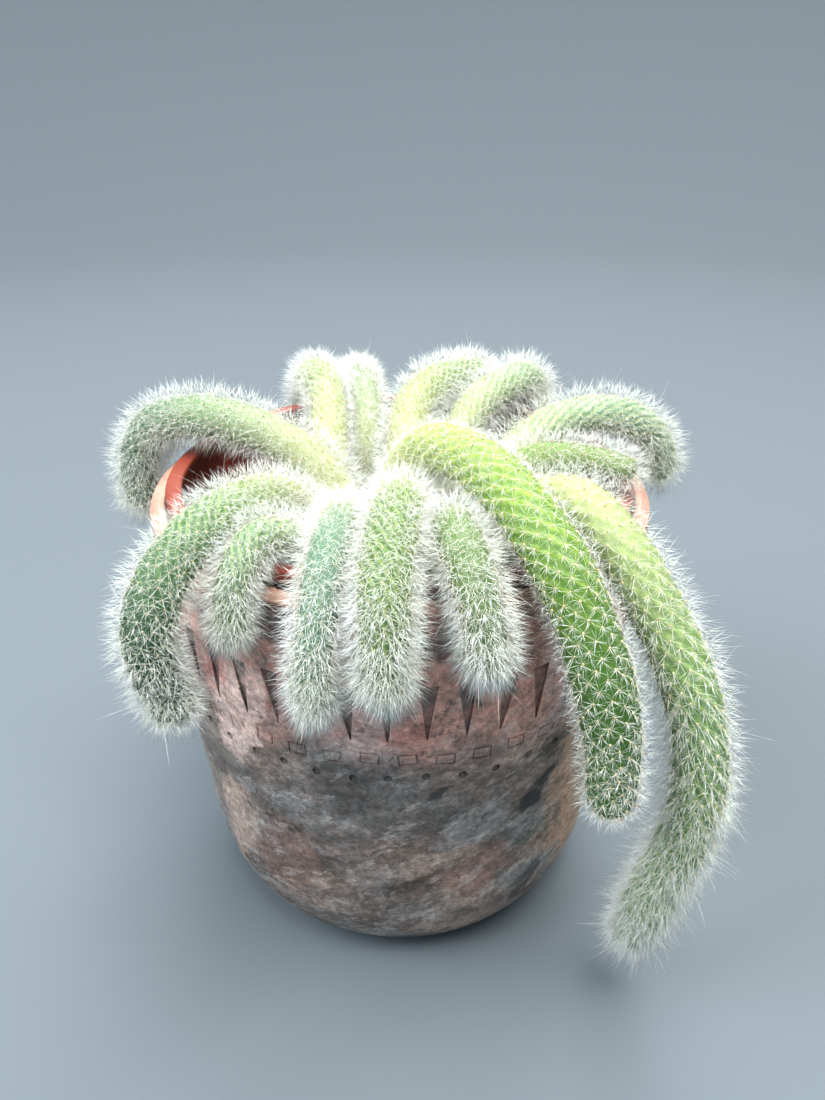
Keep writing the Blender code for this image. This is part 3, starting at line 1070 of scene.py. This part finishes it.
@dataclass(frozen=True)
class CoatStyle:
    """How a stem is clad.

    Areole spacing in mm, how much the rows close up to the tip, spines on an areole low down
    and at the tip, the share of them that spreads over the skin, the lean of the spines to
    the tip, the longest spreading and the longest standing spine in mm, how far the roots
    scatter in mm, the share of long wisps, the size of the woolly pads in mm, the
    greatest width of a spine in mm and how much the coat thickens at the very tip.
    """

    spacing: float
    crowding: float
    spines: float
    tip_spines: float
    spreading: float
    lean: float
    radial: float
    central: float
    scatter: float
    wisps: float
    pad: float
    width: float
    tuft: float = 0.0


class Coat(Enum):
    """The kinds of coat seen on the plant."""

    OPEN = CoatStyle(4.2, 0.45, 16, 15, 0.84, 0.10, 4.6, 5.4, 0.14, 0.002, 0.48, 0.088)
    TRAILING = CoatStyle(3.8, 0.25, 16, 25, 0.64, 0.50, 4.6, 8.2, 0.25, 0.060, 0.42, 0.088)
    STARRY = CoatStyle(2.45, 0.15, 13.5, 10, 0.74, 0.12, 3.3, 7.0, 0.14, 0.010, 0.29, 0.088, 1.4)
    FLEECY = CoatStyle(2.8, 0.15, 13.8, 15.5, 0.66, 0.20, 3.7, 8.2, 0.18, 0.010, 0.36, 0.092)
    THICK = CoatStyle(2.5, 0.15, 11.2, 18.0, 0.56, 0.35, 4.6, 7.6, 0.50, 0.010, 0.24, 0.096)
    WOOLLY = CoatStyle(2.4, 0.10, 11.5, 19.0, 0.56, 0.35, 4.8, 7.4, 0.50, 0.010, 0.22, 0.096)


@dataclass(frozen=True)
class StemPlan:
    """One stem: body radius in mm, skin colour, coat, route, and how far painted shade darkens its far
    part.

    The route's points are distance from the pot's axis in mm, bearing in degrees from +X
    towards +Y, and height in mm, the same as in the part's own source.
    """

    name: str
    radius: float
    colour: Colour
    coat: Coat
    route: tuple[tuple[float, float, float], ...]
    hanging_shade: float = 0.25


STEMS = (
    StemPlan("stem_left_arch", 6.8, (0.46, 0.56, 0.3), Coat.FLEECY, (
        (20, 178, 127), (20, 178, 140), (27, 172, 154), (43, 169, 165), (60, 168, 169.5),
        (74, 168, 169.5), (85, 168, 166), (91, 169, 158), (93, 170, 149), (92, 171, 142)), 0.9),
    StemPlan("stem_front_left_outer", 6.3, (0.27, 0.4, 0.15), Coat.STARRY, (
        (33, -150, 127), (33, -150, 140), (40, -144, 155), (55, -135, 165), (71, -130, 167.8),
        (87.5, -127, 166.5), (98.5, -126, 160), (104, -125.5, 150), (104.5, -125, 140), (102, -124.3, 129)),
        1.0),
    StemPlan("stem_front_left_short", 4.7, (0.4, 0.51, 0.26), Coat.THICK, (
        (50, -116, 127), (50, -116, 140), (56, -117, 153), (66, -118, 163), (76, -118.5, 166),
        (84, -118, 161.5), (87.5, -118, 155), (88.5, -118, 148.5))),
    StemPlan("stem_front_slim", 4.9, (0.28, 0.43, 0.28), Coat.WOOLLY, (
        (37, -112, 127), (37, -112, 140), (44, -109, 157), (56, -105.5, 166), (70, -103, 168),
        (82, -102, 166), (91, -101.5, 158.5), (96, -101.5, 149.5), (97, -101.5, 139))),
    StemPlan("stem_front_middle", 6.4, (0.29, 0.4, 0.12), Coat.THICK, (
        (30, -85, 127), (30, -85, 140), (37, -87, 158), (50, -89, 169), (66, -90.5, 171.5),
        (80, -91.3, 169.5), (91, -91.5, 163.5), (96.5, -91.5, 156), (98, -91.5, 148))),
    StemPlan("stem_front_right_short", 5.9, (0.3, 0.4, 0.14), Coat.THICK, (
        (41, -64, 127), (41, -64, 140), (48, -69, 155), (59, -76, 165), (71, -77.5, 168),
        (83, -77.5, 165), (90, -77, 158), (93.5, -76.5, 149))),
    StemPlan("stem_front_right_main", 7.4, (0.36, 0.53, 0.07), Coat.OPEN, (
        (7, -90, 127), (7, -90, 141), (12, -80, 160), (24, -68, 172.5), (40, -64, 177),
        (58, -63, 176), (76, -63, 171), (89, -62.5, 163), (99, -62, 151), (106, -61.5, 138),
        (110, -61, 124), (111.7, -61, 110.5)), 0.9),
    StemPlan("stem_right_long", 7.0, (0.35, 0.52, 0.16), Coat.TRAILING, (
        (42, -35, 127), (42, -35, 140), (48, -38, 155), (60, -43, 165), (73, -46.5, 168),
        (85, -48, 163.5), (97, -48.5, 153), (108, -48.2, 139), (115, -47.6, 123), (118.5, -47.2, 106),
        (118, -47, 86), (113, -47, 60), (107.5, -46.5, 32.5)), 0.05),
    StemPlan("stem_right_resting", 4.8, (0.42, 0.52, 0.15), Coat.FLEECY, (
        (29, -13, 127), (29, -13, 140), (34, -14, 156), (43, -15, 165), (54, -15.5, 167),
        (63, -16, 167), (70.5, -17, 166))),
    StemPlan("stem_right_back", 6.1, (0.53, 0.65, 0.36), Coat.FLEECY, (
        (33, 16, 127), (33, 16, 140), (38, 14, 156), (49, 11, 167.5), (62, 10, 171.5),
        (75, 10, 170), (84, 10, 165), (89.5, 10, 158.5), (91, 10, 152))),
    StemPlan("stem_back_right", 6.2, (0.53, 0.65, 0.34), Coat.FLEECY, (
        (30, 58, 127), (30, 58, 140), (36, 56, 156), (46, 53, 166.5), (58, 51, 170),
        (70, 51, 170), (81, 52, 166), (87.5, 53, 157), (89, 54, 148))),
    StemPlan("stem_back_middle", 6.4, (0.42, 0.53, 0.19), Coat.FLEECY, (
        (15, 85, 127), (15, 85, 141), (20, 85, 158), (32, 82, 168), (47, 76, 170.8),
        (63, 71, 169.5), (77, 68.5, 166.5), (87, 68, 158.5), (91, 68, 148), (92, 68, 139))),
    StemPlan("stem_back_left", 6.2, (0.46, 0.55, 0.2), Coat.FLEECY, (
        (32, 142, 127), (32, 142, 140), (37, 134, 155), (48, 124, 165), (62, 118.5, 168.5),
        (76, 117, 167.5), (87, 116, 160), (92, 116, 150), (93, 116, 140))),
    StemPlan("stem_back_young", 4.8, (0.52, 0.6, 0.32), Coat.WOOLLY, (
        (31, 113, 127), (31, 113, 140), (36, 110, 156), (46, 106, 165.5), (58, 104.5, 168.5),
        (70, 104, 168), (79, 104.5, 164))),
)


class Route:
    """A smooth line through a stem's points, sampled closely with a frame that doesn't twist."""

    step = 0.5 * MM

    def __init__(self, route: Sequence[tuple[float, float, float]]) -> None:
        """Lay the line and carry the frame along it.

        Args:
            route: the points as a StemPlan gives them.
        """
        self.points = [self.place(*point) for point in route]
        self.marks = [0.0]
        for start, end in zip(self.points, self.points[1:]):
            self.marks.append(self.marks[-1] + (end - start).length)
        self.slopes = [self.slope(index) for index in range(len(self.points))]
        self.length = self.marks[-1]
        count = int(self.length / self.step) + 2
        self.stations = np.linspace(0.0, self.length, count)
        across = Vector((1.0, 0.0, 0.0))
        rows = []
        for station in self.stations:
            position, direction = self.at(float(station))
            across = (across - direction * across.dot(direction)).normalized()
            rows.append([*position, *direction, *across, *direction.cross(across)])
        self.table = np.array(rows)

    @staticmethod
    def place(distance: float, bearing: float, height: float) -> Vector:
        """A route point in metres."""
        turn = math.radians(bearing)
        return Vector((distance * math.cos(turn), distance * math.sin(turn), height)) * MM

    def slope(self, index: int) -> Vector:
        """Direction at a point; the first two stand straight up.

        Args:
            index: which point.

        Returns:
            The direction, of the length that the curve needs.
        """
        if index < 2:
            return Vector((0.0, 0.0, 1.0))
        back = self.points[index] - self.points[index - 1]
        if index == len(self.points) - 1:
            return back.normalized()
        ahead = self.points[index + 1] - self.points[index]
        mixed = back * (ahead.length / back.length) + ahead * (back.length / ahead.length)
        return mixed / (back.length + ahead.length)

    def at(self, distance: float) -> tuple[Vector, Vector]:
        """One place on the line.

        Args:
            distance: how far along it is, in metres.

        Returns:
            Its position and direction.
        """
        index = 0
        while index < len(self.points) - 2 and distance > self.marks[index + 1]:
            index += 1
        span = self.marks[index + 1] - self.marks[index]
        t = (distance - self.marks[index]) / span
        start, end = self.points[index], self.points[index + 1]
        first, last = self.slopes[index] * span, self.slopes[index + 1] * span
        position = (
            start * (2 * t**3 - 3 * t**2 + 1) + first * (t**3 - 2 * t**2 + t)
            + end * (3 * t**2 - 2 * t**3) + last * (t**3 - t**2)
        )
        direction = (end - start) * (6 * t - 6 * t**2) + first * (3 * t**2 - 4 * t + 1)
        direction += last * (3 * t**2 - 2 * t)
        return position, direction.normalized()

    def frames(self, distance: np.ndarray) -> tuple[np.ndarray, ...]:
        """Many places on the line at once.

        Args:
            distance: how far along they are, in metres.

        Returns:
            Their positions, directions and two cross directions, as rows.
        """
        held = np.clip(distance, 0.0, self.length)
        columns = np.stack([np.interp(held, self.stations, column) for column in self.table.T], 1)
        return columns[:, 0:3], columns[:, 3:6], columns[:, 6:9], columns[:, 9:12]


@dataclass
class Stem:
    """A stem's skin, its areole pads and its coat of spines.

    Each pair is a least value and how far chance goes above it: the rise of spreading and of
    standing spines from the skin in degrees, the length of a wisp in mm, and the length of a
    spine as a share of the longest. The crown's end is given by its start and breadth, and
    the narrowing by its share of the radius and its length before the tip.
    """

    plan: StemPlan
    seed: int
    rise: float = 0.75 * MM
    low: tuple[float, float] = (7, 21)
    steep: tuple[float, float] = (30, 52)
    wisp: tuple[float, float] = (8, 6)
    lengths: tuple[float, float] = (0.58, 0.42)
    least: float = 1.0 * MM
    crown: tuple[float, float] = (14 * MM, 24 * MM)
    narrowing: tuple[float, float] = (0.15, 28 * MM)

    def __post_init__(self) -> None:
        """Work out the line, the ribs and the rows of areoles."""
        self.style: CoatStyle = self.plan.coat.value
        self.route = Route(self.plan.route)
        self.radius = self.plan.radius * MM
        self.ribs = round(2 * math.pi * self.plan.radius / self.style.spacing)
        self.row = self.style.spacing * 0.87 * MM
        self.start = BURIED - 3 * MM
        self.end = self.route.length + self.radius * math.pi / 2
        self.dice = np.random.default_rng(self.seed)

    def drawn(self, span: tuple[float, float], count: int) -> np.ndarray:
        """Random numbers from a least value and what chance adds to it."""
        return span[0] + span[1] * self.dice.random(count)

    def rows_at(self, along: np.ndarray) -> np.ndarray:
        """Rows of areoles passed at a distance over the skin; they close up towards the tip."""
        share = along / self.end
        return along * (1 + self.style.crowding * share) / self.row

    def surface(self, along: np.ndarray, turn: np.ndarray,
                lift: np.ndarray | float) -> tuple[np.ndarray, ...]:
        """Points on or over the skin.

        Args:
            along: distance over the skin from the foot; it goes on over the rounded tip.
            turn: angle round the stem.
            lift: height over the plain body.

        Returns:
            The points, the directions away from the skin and the directions to the tip.
        """
        over = np.clip((along - self.route.length) / self.radius, 0.0, math.pi / 2)
        position, direction, across, up = self.route.frames(along)
        out = across * np.cos(turn)[:, None] + up * np.sin(turn)[:, None]
        share, reach = self.narrowing
        taper = 1 - share * eased((along - self.route.length + reach) / reach)
        swell = 1 + 0.016 * np.sin(along * 210 + self.seed) + 0.010 * np.sin(along * 530 + 2.0 * turn)
        body = self.radius * taper * swell + lift
        normal = out * np.cos(over)[:, None] + direction * np.sin(over)[:, None]
        tipwards = direction * np.cos(over)[:, None] - out * np.sin(over)[:, None]
        return position + normal * body[:, None], normal, tipwards

    def relief(self, along: np.ndarray, turn: np.ndarray) -> np.ndarray:
        """Height of the tubercles.

        Args:
            along: distance over the skin.
            turn: angle round the stem.

        Returns:
            0 in the grooves, 1 on top of the tubercles.
        """
        column = turn * self.ribs / (2 * math.pi)
        wave = np.cos(2 * math.pi * column) * np.cos(math.pi * self.rows_at(along))
        return (0.5 + 0.5 * wave) ** 1.4

    def make_skin(self) -> Object:
        """Lay a ball of rings along the line and raise the tubercles.

        Returns:
            The dressed skin.
        """
        finer = 3 if self.plan.coat in (Coat.OPEN, Coat.TRAILING) else 2
        columns = self.ribs * finer
        rings = round((self.end - self.start) / (self.row / (finer - 0.2)))
        skin = begin(bpy.ops.mesh.primitive_uv_sphere_add, segments=columns, ring_count=rings, radius=1.0)
        skin.name = skin.data.name = self.plan.name + "_skin"
        carried: dict[str, np.ndarray] = {}

        def lay(points: np.ndarray) -> np.ndarray:
            """Bend the ball's points on to the stem.

            Args:
                points: the ball's points as rows.

            Returns:
                The points on the skin.
            """
            level = 1 - np.arccos(np.clip(points[:, 2], -1, 1)) / math.pi
            turn = np.arctan2(points[:, 1], points[:, 0])
            along = self.start + (self.end - self.start) * level
            relief = self.relief(along, turn)
            relief = relief * np.cos(np.clip((along - self.route.length) / self.radius, 0, 1.5)) ** 0.5
            placed, _, _ = self.surface(along, turn, self.rise * (relief - 0.45))
            foot = level < 0.5 / rings
            placed[foot] = self.route.frames(along)[0][foot]
            carried["relief"] = relief
            carried["along"] = (along - BURIED) / (self.end - BURIED)
            return placed

        reshape(skin, lay)
        for name, values in carried.items():
            carry(skin, name, values)
        dress(skin, [LivingSkin("skin_" + self.plan.name, self.plan.colour, self.plan.hanging_shade).make()])
        return skin

    def areoles(self) -> tuple[np.ndarray, np.ndarray]:
        """Set out an areole on each tubercle, row by row, with fewer over the rounded tip.

        Returns:
            The distance along and the angle round the stem of each.
        """
        fine = np.linspace(0.0, self.end, 4000)
        passed = self.rows_at(fine)
        first, last = math.ceil(np.interp(BURIED + 1 * MM, fine, passed)), math.floor(passed[-1])
        along, turn = [], []
        for row in range(first, last + 1):
            distance = float(np.interp(row, passed, fine))
            over = max(0.0, (distance - self.route.length) / self.radius)
            keep = math.cos(min(over, math.pi / 2))
            for column in range(self.ribs):
                if self.dice.random() < keep + 0.12:
                    along.append(distance)
                    turn.append(2 * math.pi * (column + 0.5 * (row % 2)) / self.ribs)
        count = len(along)
        jitter = self.dice.normal(size=(2, count)) * (0.22 * MM)
        return np.array(along) + jitter[0], np.array(turn) + jitter[1] / self.radius

    def make_pads(self, along: np.ndarray, turn: np.ndarray, pattern: Pattern, wool: Material) -> Object:
        """The small woolly pad of each areole.

        Args:
            along: distances of the areoles.
            turn: angles of the areoles.
            pattern: the pad, modelled once.
            wool: its finish.

        Returns:
            All pads of this stem.
        """
        places, normal, tipwards = self.surface(along, turn, self.rise * 0.45)
        size = self.style.pad * MM * self.drawn((0.85, 0.4), len(along))[:, None]
        size *= 1.08 - 0.4 * (along / self.end)[:, None]
        bases = np.stack([np.cross(tipwards, normal), tipwards, normal], 1) * size[:, None, :]
        pads = pattern.lay(self.plan.name + "_areoles", places, bases)
        dress(pads, [wool])
        return pads

    def make_spines(self, along: np.ndarray, turn: np.ndarray, patterns: "SpinePatterns",
                    blockers: BVHTree, finish: Material) -> list[Object]:
        """The stem's coat, each spine cut short at what lies in front of it.

        The cut is reckoned for straight spines and coarse blockers, and the spines are bent
        afterwards, so a few in a hundred still reach a little into another piece.

        Args:
            along: distances of the areoles.
            turn: angles of the areoles.
            patterns: the kinds of spine, modelled once.
            blockers: what a spine stops short of.
            finish: the spines' material.

        Returns:
            The spreading spines, the standing hairs and the long bent wisps.
        """
        style, dice = self.style, self.dice
        share = np.clip((along - BURIED) / (self.end - BURIED), 0, 1)
        crown = 1 - eased((along - BURIED - self.crown[0]) / self.crown[1])
        counts = self.spine_counts(share, crown)
        owner = np.repeat(np.arange(len(along)), counts)
        roots, normal, tipwards = self.surface(along, turn, self.rise * 0.45)
        side = np.cross(tipwards, normal)
        number, near, young = len(owner), share[owner], crown[owner]
        order = np.arange(number) - np.repeat(np.cumsum(counts) - counts, counts)
        angle = 2 * math.pi * (order / counts[owner] + dice.random(len(along))[owner])
        angle += 0.3 * dice.normal(size=number)
        spreads = dice.random(number) < style.spreading * (1 - 0.25 * near - 0.2 * young)
        low, steep = self.drawn(self.low, number), self.drawn(self.steep, number)
        raised = np.radians(np.where(spreads, low, steep))
        lean = style.lean * (0.35 + 1.3 * near) * np.where(spreads, 0.7, 1.0)
        flat = np.cos(raised) * np.cos(angle) + lean
        axis = unit(
            tipwards[owner] * flat[:, None] + side[owner] * (np.cos(raised) * np.sin(angle))[:, None]
            + normal[owner] * np.sin(raised)[:, None]
        )
        length = np.where(spreads, style.radial, style.central) * self.drawn(self.lengths, number) * MM
        length *= 1 + 0.25 * young
        wisp = (dice.random(number) < style.wisps) & ~spreads
        length = np.where(wisp, self.drawn(self.wisp, number) * MM, length)
        stout = 1 + style.lean * near**3 + 0.4 * style.tuft * near**8
        aside = dice.normal(size=(number, 2)) * (style.scatter * MM)
        start = roots[owner] + normal[owner] * 0.1 * MM
        start += side[owner] * aside[:, :1] + tipwards[owner] * aside[:, 1:]
        length = self.stopped(start, axis, length, blockers)
        kept = length > self.least
        pieces = []
        for label, chosen, pattern, thick in (
            ("spines", kept & spreads, patterns.straight, 1.0),
            ("hairs", kept & ~spreads & ~wisp, patterns.hair, 1.0),
            ("wisps", kept & wisp, patterns.bent, 0.8),
        ):
            if not chosen.any():
                continue
            width = thick * stout[chosen]
            laid = self.lay_spines(label, start[chosen], axis[chosen], length[chosen], pattern, width)
            dress(laid, [finish])
            pieces.append(laid)
        return pieces

    def spine_counts(self, share: np.ndarray, crown: np.ndarray) -> np.ndarray:
        """How many spines stand on each areole, more by the crown and towards the tip.

        Args:
            share: how far along the stem each is, 0 to 1.
            crown: how far each belongs to the crown, 0 to 1.

        Returns:
            The numbers of spines.
        """
        style, number = self.style, len(share)
        wanted = style.spines + (style.tip_spines - style.spines) * eased((share - 0.5) / 0.42)
        wanted = wanted * (1 + 0.45 * crown + style.tuft * share**8)
        return np.floor(wanted * self.drawn((0.8, 0.4), number) + self.dice.random(number)).astype(int)

    def stopped(self, start: np.ndarray, axis: np.ndarray, length: np.ndarray,
                blockers: BVHTree) -> np.ndarray:
        """Cut spines back to what is free in front of each.

        Args:
            start: roots.
            axis: directions.
            length: lengths.
            blockers: what they stop short of.

        Returns:
            The free lengths.
        """
        free = length.copy()
        for index, (place, way, reach) in enumerate(zip(start, axis, length)):
            distance = blockers.ray_cast(Vector(place), Vector(way), float(reach))[3]
            if distance is not None:
                free[index] = max(0.0, distance - 0.1 * MM)
        return free

    def lay_spines(self, label: str, start: np.ndarray, axis: np.ndarray, length: np.ndarray,
                   pattern: Pattern, thick: np.ndarray) -> Object:
        """Copies of one spine on their areoles.

        Args:
            label: last part of the piece's name.
            start: roots.
            axis: directions.
            length: lengths.
            pattern: the spine.
            thick: factors on the widths.

        Returns:
            The joined spines.
        """
        count = len(start)
        helper = self.dice.normal(size=(count, 3))
        side = unit(np.cross(axis, helper))
        width = self.style.width / 2 * MM * (thick * self.drawn((0.8, 0.4), count))[:, None]
        bases = np.stack([side * width, np.cross(axis, side) * width, axis * length[:, None]], 1)
        bends = helper * (length * 0.07)[:, None]
        bends[:, 2] -= length * 0.10
        laid = pattern.lay(f"{self.plan.name}_{label}", start, bases, bends)
        carry(laid, "along", np.tile(pattern.points[:, 2], count))
        return laid

    def tube(self) -> tuple[np.ndarray, np.ndarray]:
        """A plain tube of the body, for the spines of the other stems to stop at.

        Returns:
            Its points and triangles.
        """
        rings, columns = max(6, round((self.end - self.start) / (4 * MM))), 12
        along = np.repeat(np.linspace(self.start, self.end, rings), columns)
        turn = np.tile(np.linspace(0, 2 * math.pi, columns, endpoint=False), rings)
        points, _, _ = self.surface(along, turn, 0.0)
        return points, ring_faces(rings, columns)


class SpinePatterns:
    """The spine, the hair and the bent wisp, each modelled once at unit length and width."""

    def __init__(self) -> None:
        """Model all three."""
        self.straight = self.model(0)
        self.hair = self.spindle()
        self.bent = self.model(3)

    def spindle(self) -> Pattern:
        """A hair that is thin at the root and widest at two fifths of its length.

        Returns:
            The closed shape.
        """
        hair = begin(bpy.ops.mesh.primitive_cone_add, vertices=3, radius1=1.0, radius2=0.0, depth=0.6,
                     end_fill_type="TRIFAN", location=(0, 0, 0.7))
        edit(hair)
        pick(hair, lambda place: place.z < 0 and math.hypot(place.x, place.y) < 0.01)
        bpy.ops.transform.translate(value=(0, 0, -0.4))
        close()
        return Pattern.taken_from(hair)

    def model(self, joints: int) -> Pattern:
        """A three-sided spine drawn to a point along +Z.

        Args:
            joints: cuts across it, where it can bend.

        Returns:
            The closed shape.
        """
        spine = begin(bpy.ops.mesh.primitive_cone_add, vertices=3, radius1=1.0, radius2=0.0, depth=1.0,
                      location=(0, 0, 0.5))
        edit(spine)
        for joint in range(1, joints + 1):
            bpy.ops.mesh.select_all(action="SELECT")
            bpy.ops.mesh.bisect(plane_co=(0, 0, joint / (joints + 1)), plane_no=(0, 0, 1))
        close()
        pattern = Pattern.taken_from(spine)
        fullness = 1 + 0.9 * pattern.points[:, 2] if joints else np.ones(len(pattern.points))
        pattern.points[:, :2] *= fullness[:, None]
        return pattern


@dataclass
class Plant:
    """All stems, built together so that spines can be cut short at a neighbour.

    What the spines stop at has this many columns, keeps them this far over the floor, and
    goes on from the rim with the lip and the soil, given as radius and height in mm.
    """

    plans: tuple[StemPlan, ...]
    pot: ClayPot
    columns: int = 48
    clear: float = 0.6
    inner: tuple[tuple[float, float], ...] = (
        (74.5, 154.0), (74.5, 158.0), (69.6, 158.0), (69.8, 140.0), (0.0, 140.3),
    )

    def surroundings(self) -> tuple[np.ndarray, np.ndarray]:
        """Coarse rings of the pots' outer side, lip and soil, and the floor, for spines to stop at.

        Returns:
            Their points and triangles.
        """
        line = [*self.pot.outside[::-1], *self.inner]
        turns = np.linspace(0, 2 * math.pi, self.columns, False)
        points = [(r * MM * math.cos(turn), r * MM * math.sin(turn), z * MM)
                  for r, z in line for turn in turns]
        corner = len(points)
        points += [(x, y, self.clear * MM) for x, y in ((-1, -1), (1, -1), (1, 1), (-1, 1))]
        floor = [(corner, corner + 1, corner + 2), (corner, corner + 2, corner + 3)]
        return np.array(points), np.concatenate([ring_faces(len(line), self.columns), floor])

    def blockers(self, own: int, tubes: Sequence[tuple[np.ndarray, np.ndarray]]) -> BVHTree:
        """Everything that a stem's spines stop at.

        Args:
            own: the stem that is left out.
            tubes: the surroundings and then each stem's tube.

        Returns:
            The searchable shapes.
        """
        points, faces, total = [], [], 0
        for index, (part_points, part_faces) in enumerate(tubes):
            if index - 1 != own:
                points.append(part_points)
                faces.append(part_faces + total)
                total += len(part_points)
        return BVHTree.FromPolygons(np.concatenate(points).tolist(), np.concatenate(faces).tolist())

    def pad_pattern(self) -> Pattern:
        """A small four-sided tuft, sunk a little below its origin."""
        sizes = {"vertices": 4, "radius1": 1.0, "radius2": 0.0, "depth": 1.3, "location": (0, 0, 0.3)}
        return Pattern.taken_from(begin(bpy.ops.mesh.primitive_cone_add, **sizes))

    def build(self) -> None:
        """Model, dress and enter every stem."""
        stems = [Stem(plan, 11 + 7 * index) for index, plan in enumerate(self.plans)]
        tubes = [self.surroundings(), *[stem.tube() for stem in stems]]
        patterns, pad = SpinePatterns(), self.pad_pattern()
        wool, white = AreoleWool().make(), WhiteSpine().make()
        for index, stem in enumerate(stems):
            enter(stem.make_skin(), stem.plan.name)
            along, turn = stem.areoles()
            enter(stem.make_pads(along, turn, pad, wool), stem.plan.name, replaces=False)
            for coat in stem.make_spines(along, turn, patterns, self.blockers(index, tubes), white):
                enter(coat, stem.plan.name, replaces=False)


# Studio


@dataclass
class Studio:
    """Pale floor that rises softly all round, soft lights and the camera at the photograph's angle."""

    eye: tuple[float, float, float] = (0.0040, -0.2525, 0.2666)
    pitch: float = 28.99
    focal_pixels: float = 836.6
    lights: tuple[tuple[str, tuple[float, float, float], float, float, Colour], ...] = (
        ("key", (0.35, -0.45, 2.3), 1.3, 92.0, (1.0, 0.98, 0.94)),
        ("fill", (-1.6, -0.6, 1.7), 1.2, 50.0, (0.92, 0.96, 1.0)),
        ("back", (0.2, 1.3, 2.0), 1.2, 34.0, (1.0, 1.0, 1.0)),
    )
    surround: Colour = tint(214, 222, 230)
    glow: float = 0.9

    def set_floor(self) -> None:
        """Wide round floor under the pot, curved up at its edge."""
        bend = [(1.4 + math.sin(turn), 1.0 - math.cos(turn)) for turn in np.linspace(0.0, math.pi / 2, 14)]
        line = [(0.0, 0.0), (0.7, 0.0), *bend, (2.4, 1.5)]
        floor = turn_shape("floor", [(radius, height - 0.2 * MM) for radius, height in line], 72)
        dress(floor, [PaleFloor().make()])

    def set_lights(self) -> None:
        """Large soft area lights and a pale surrounding."""
        for name, place, size, power, colour in self.lights:
            data = bpy.data.lights.new(name, "AREA")
            data.size = size
            data.energy = power
            data.color = colour
            lamp = linked(name, data)
            lamp.location = place
            aim = Vector((0, 0, 0.1)) - lamp.location
            lamp.rotation_euler = aim.to_track_quat("-Z", "Y").to_euler()
        world = bpy.data.worlds.new("soft_surround")
        world.use_nodes = True
        back = world.node_tree.nodes["Background"]
        back.inputs["Color"].default_value = (*self.surround, 1.0)
        back.inputs["Strength"].default_value = self.glow
        bpy.context.scene.world = world
        bpy.context.scene.view_settings.view_transform = "Standard"

    def set_camera(self) -> None:
        """The photograph's viewpoint, lens and tilt; the lens comes from its frame, 1100 high."""
        data = bpy.data.cameras.new("photo_camera")
        data.sensor_fit = "VERTICAL"
        data.sensor_height = 36.0
        data.lens = data.sensor_height * self.focal_pixels / PHOTO_HEIGHT
        data.clip_start = 0.01
        camera = linked("photo_camera", data)
        camera.location = self.eye
        camera.rotation_euler = (math.radians(90 - self.pitch), 0.0, 0.0)
        bpy.context.scene.camera = camera

    def build(self) -> None:
        """Put all of it up."""
        self.set_camera()
        self.set_floor()
        self.set_lights()


def main() -> None:
    """Build the scene."""
    logging.basicConfig(level=logging.INFO, format="%(message)s")
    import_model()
    Studio().build()
    pot = ClayPot()
    pot.build()
    NurseryPot().build()
    SoilBed().build()
    Plant(STEMS, pot).build()


if __name__ == "__main__":
    main()
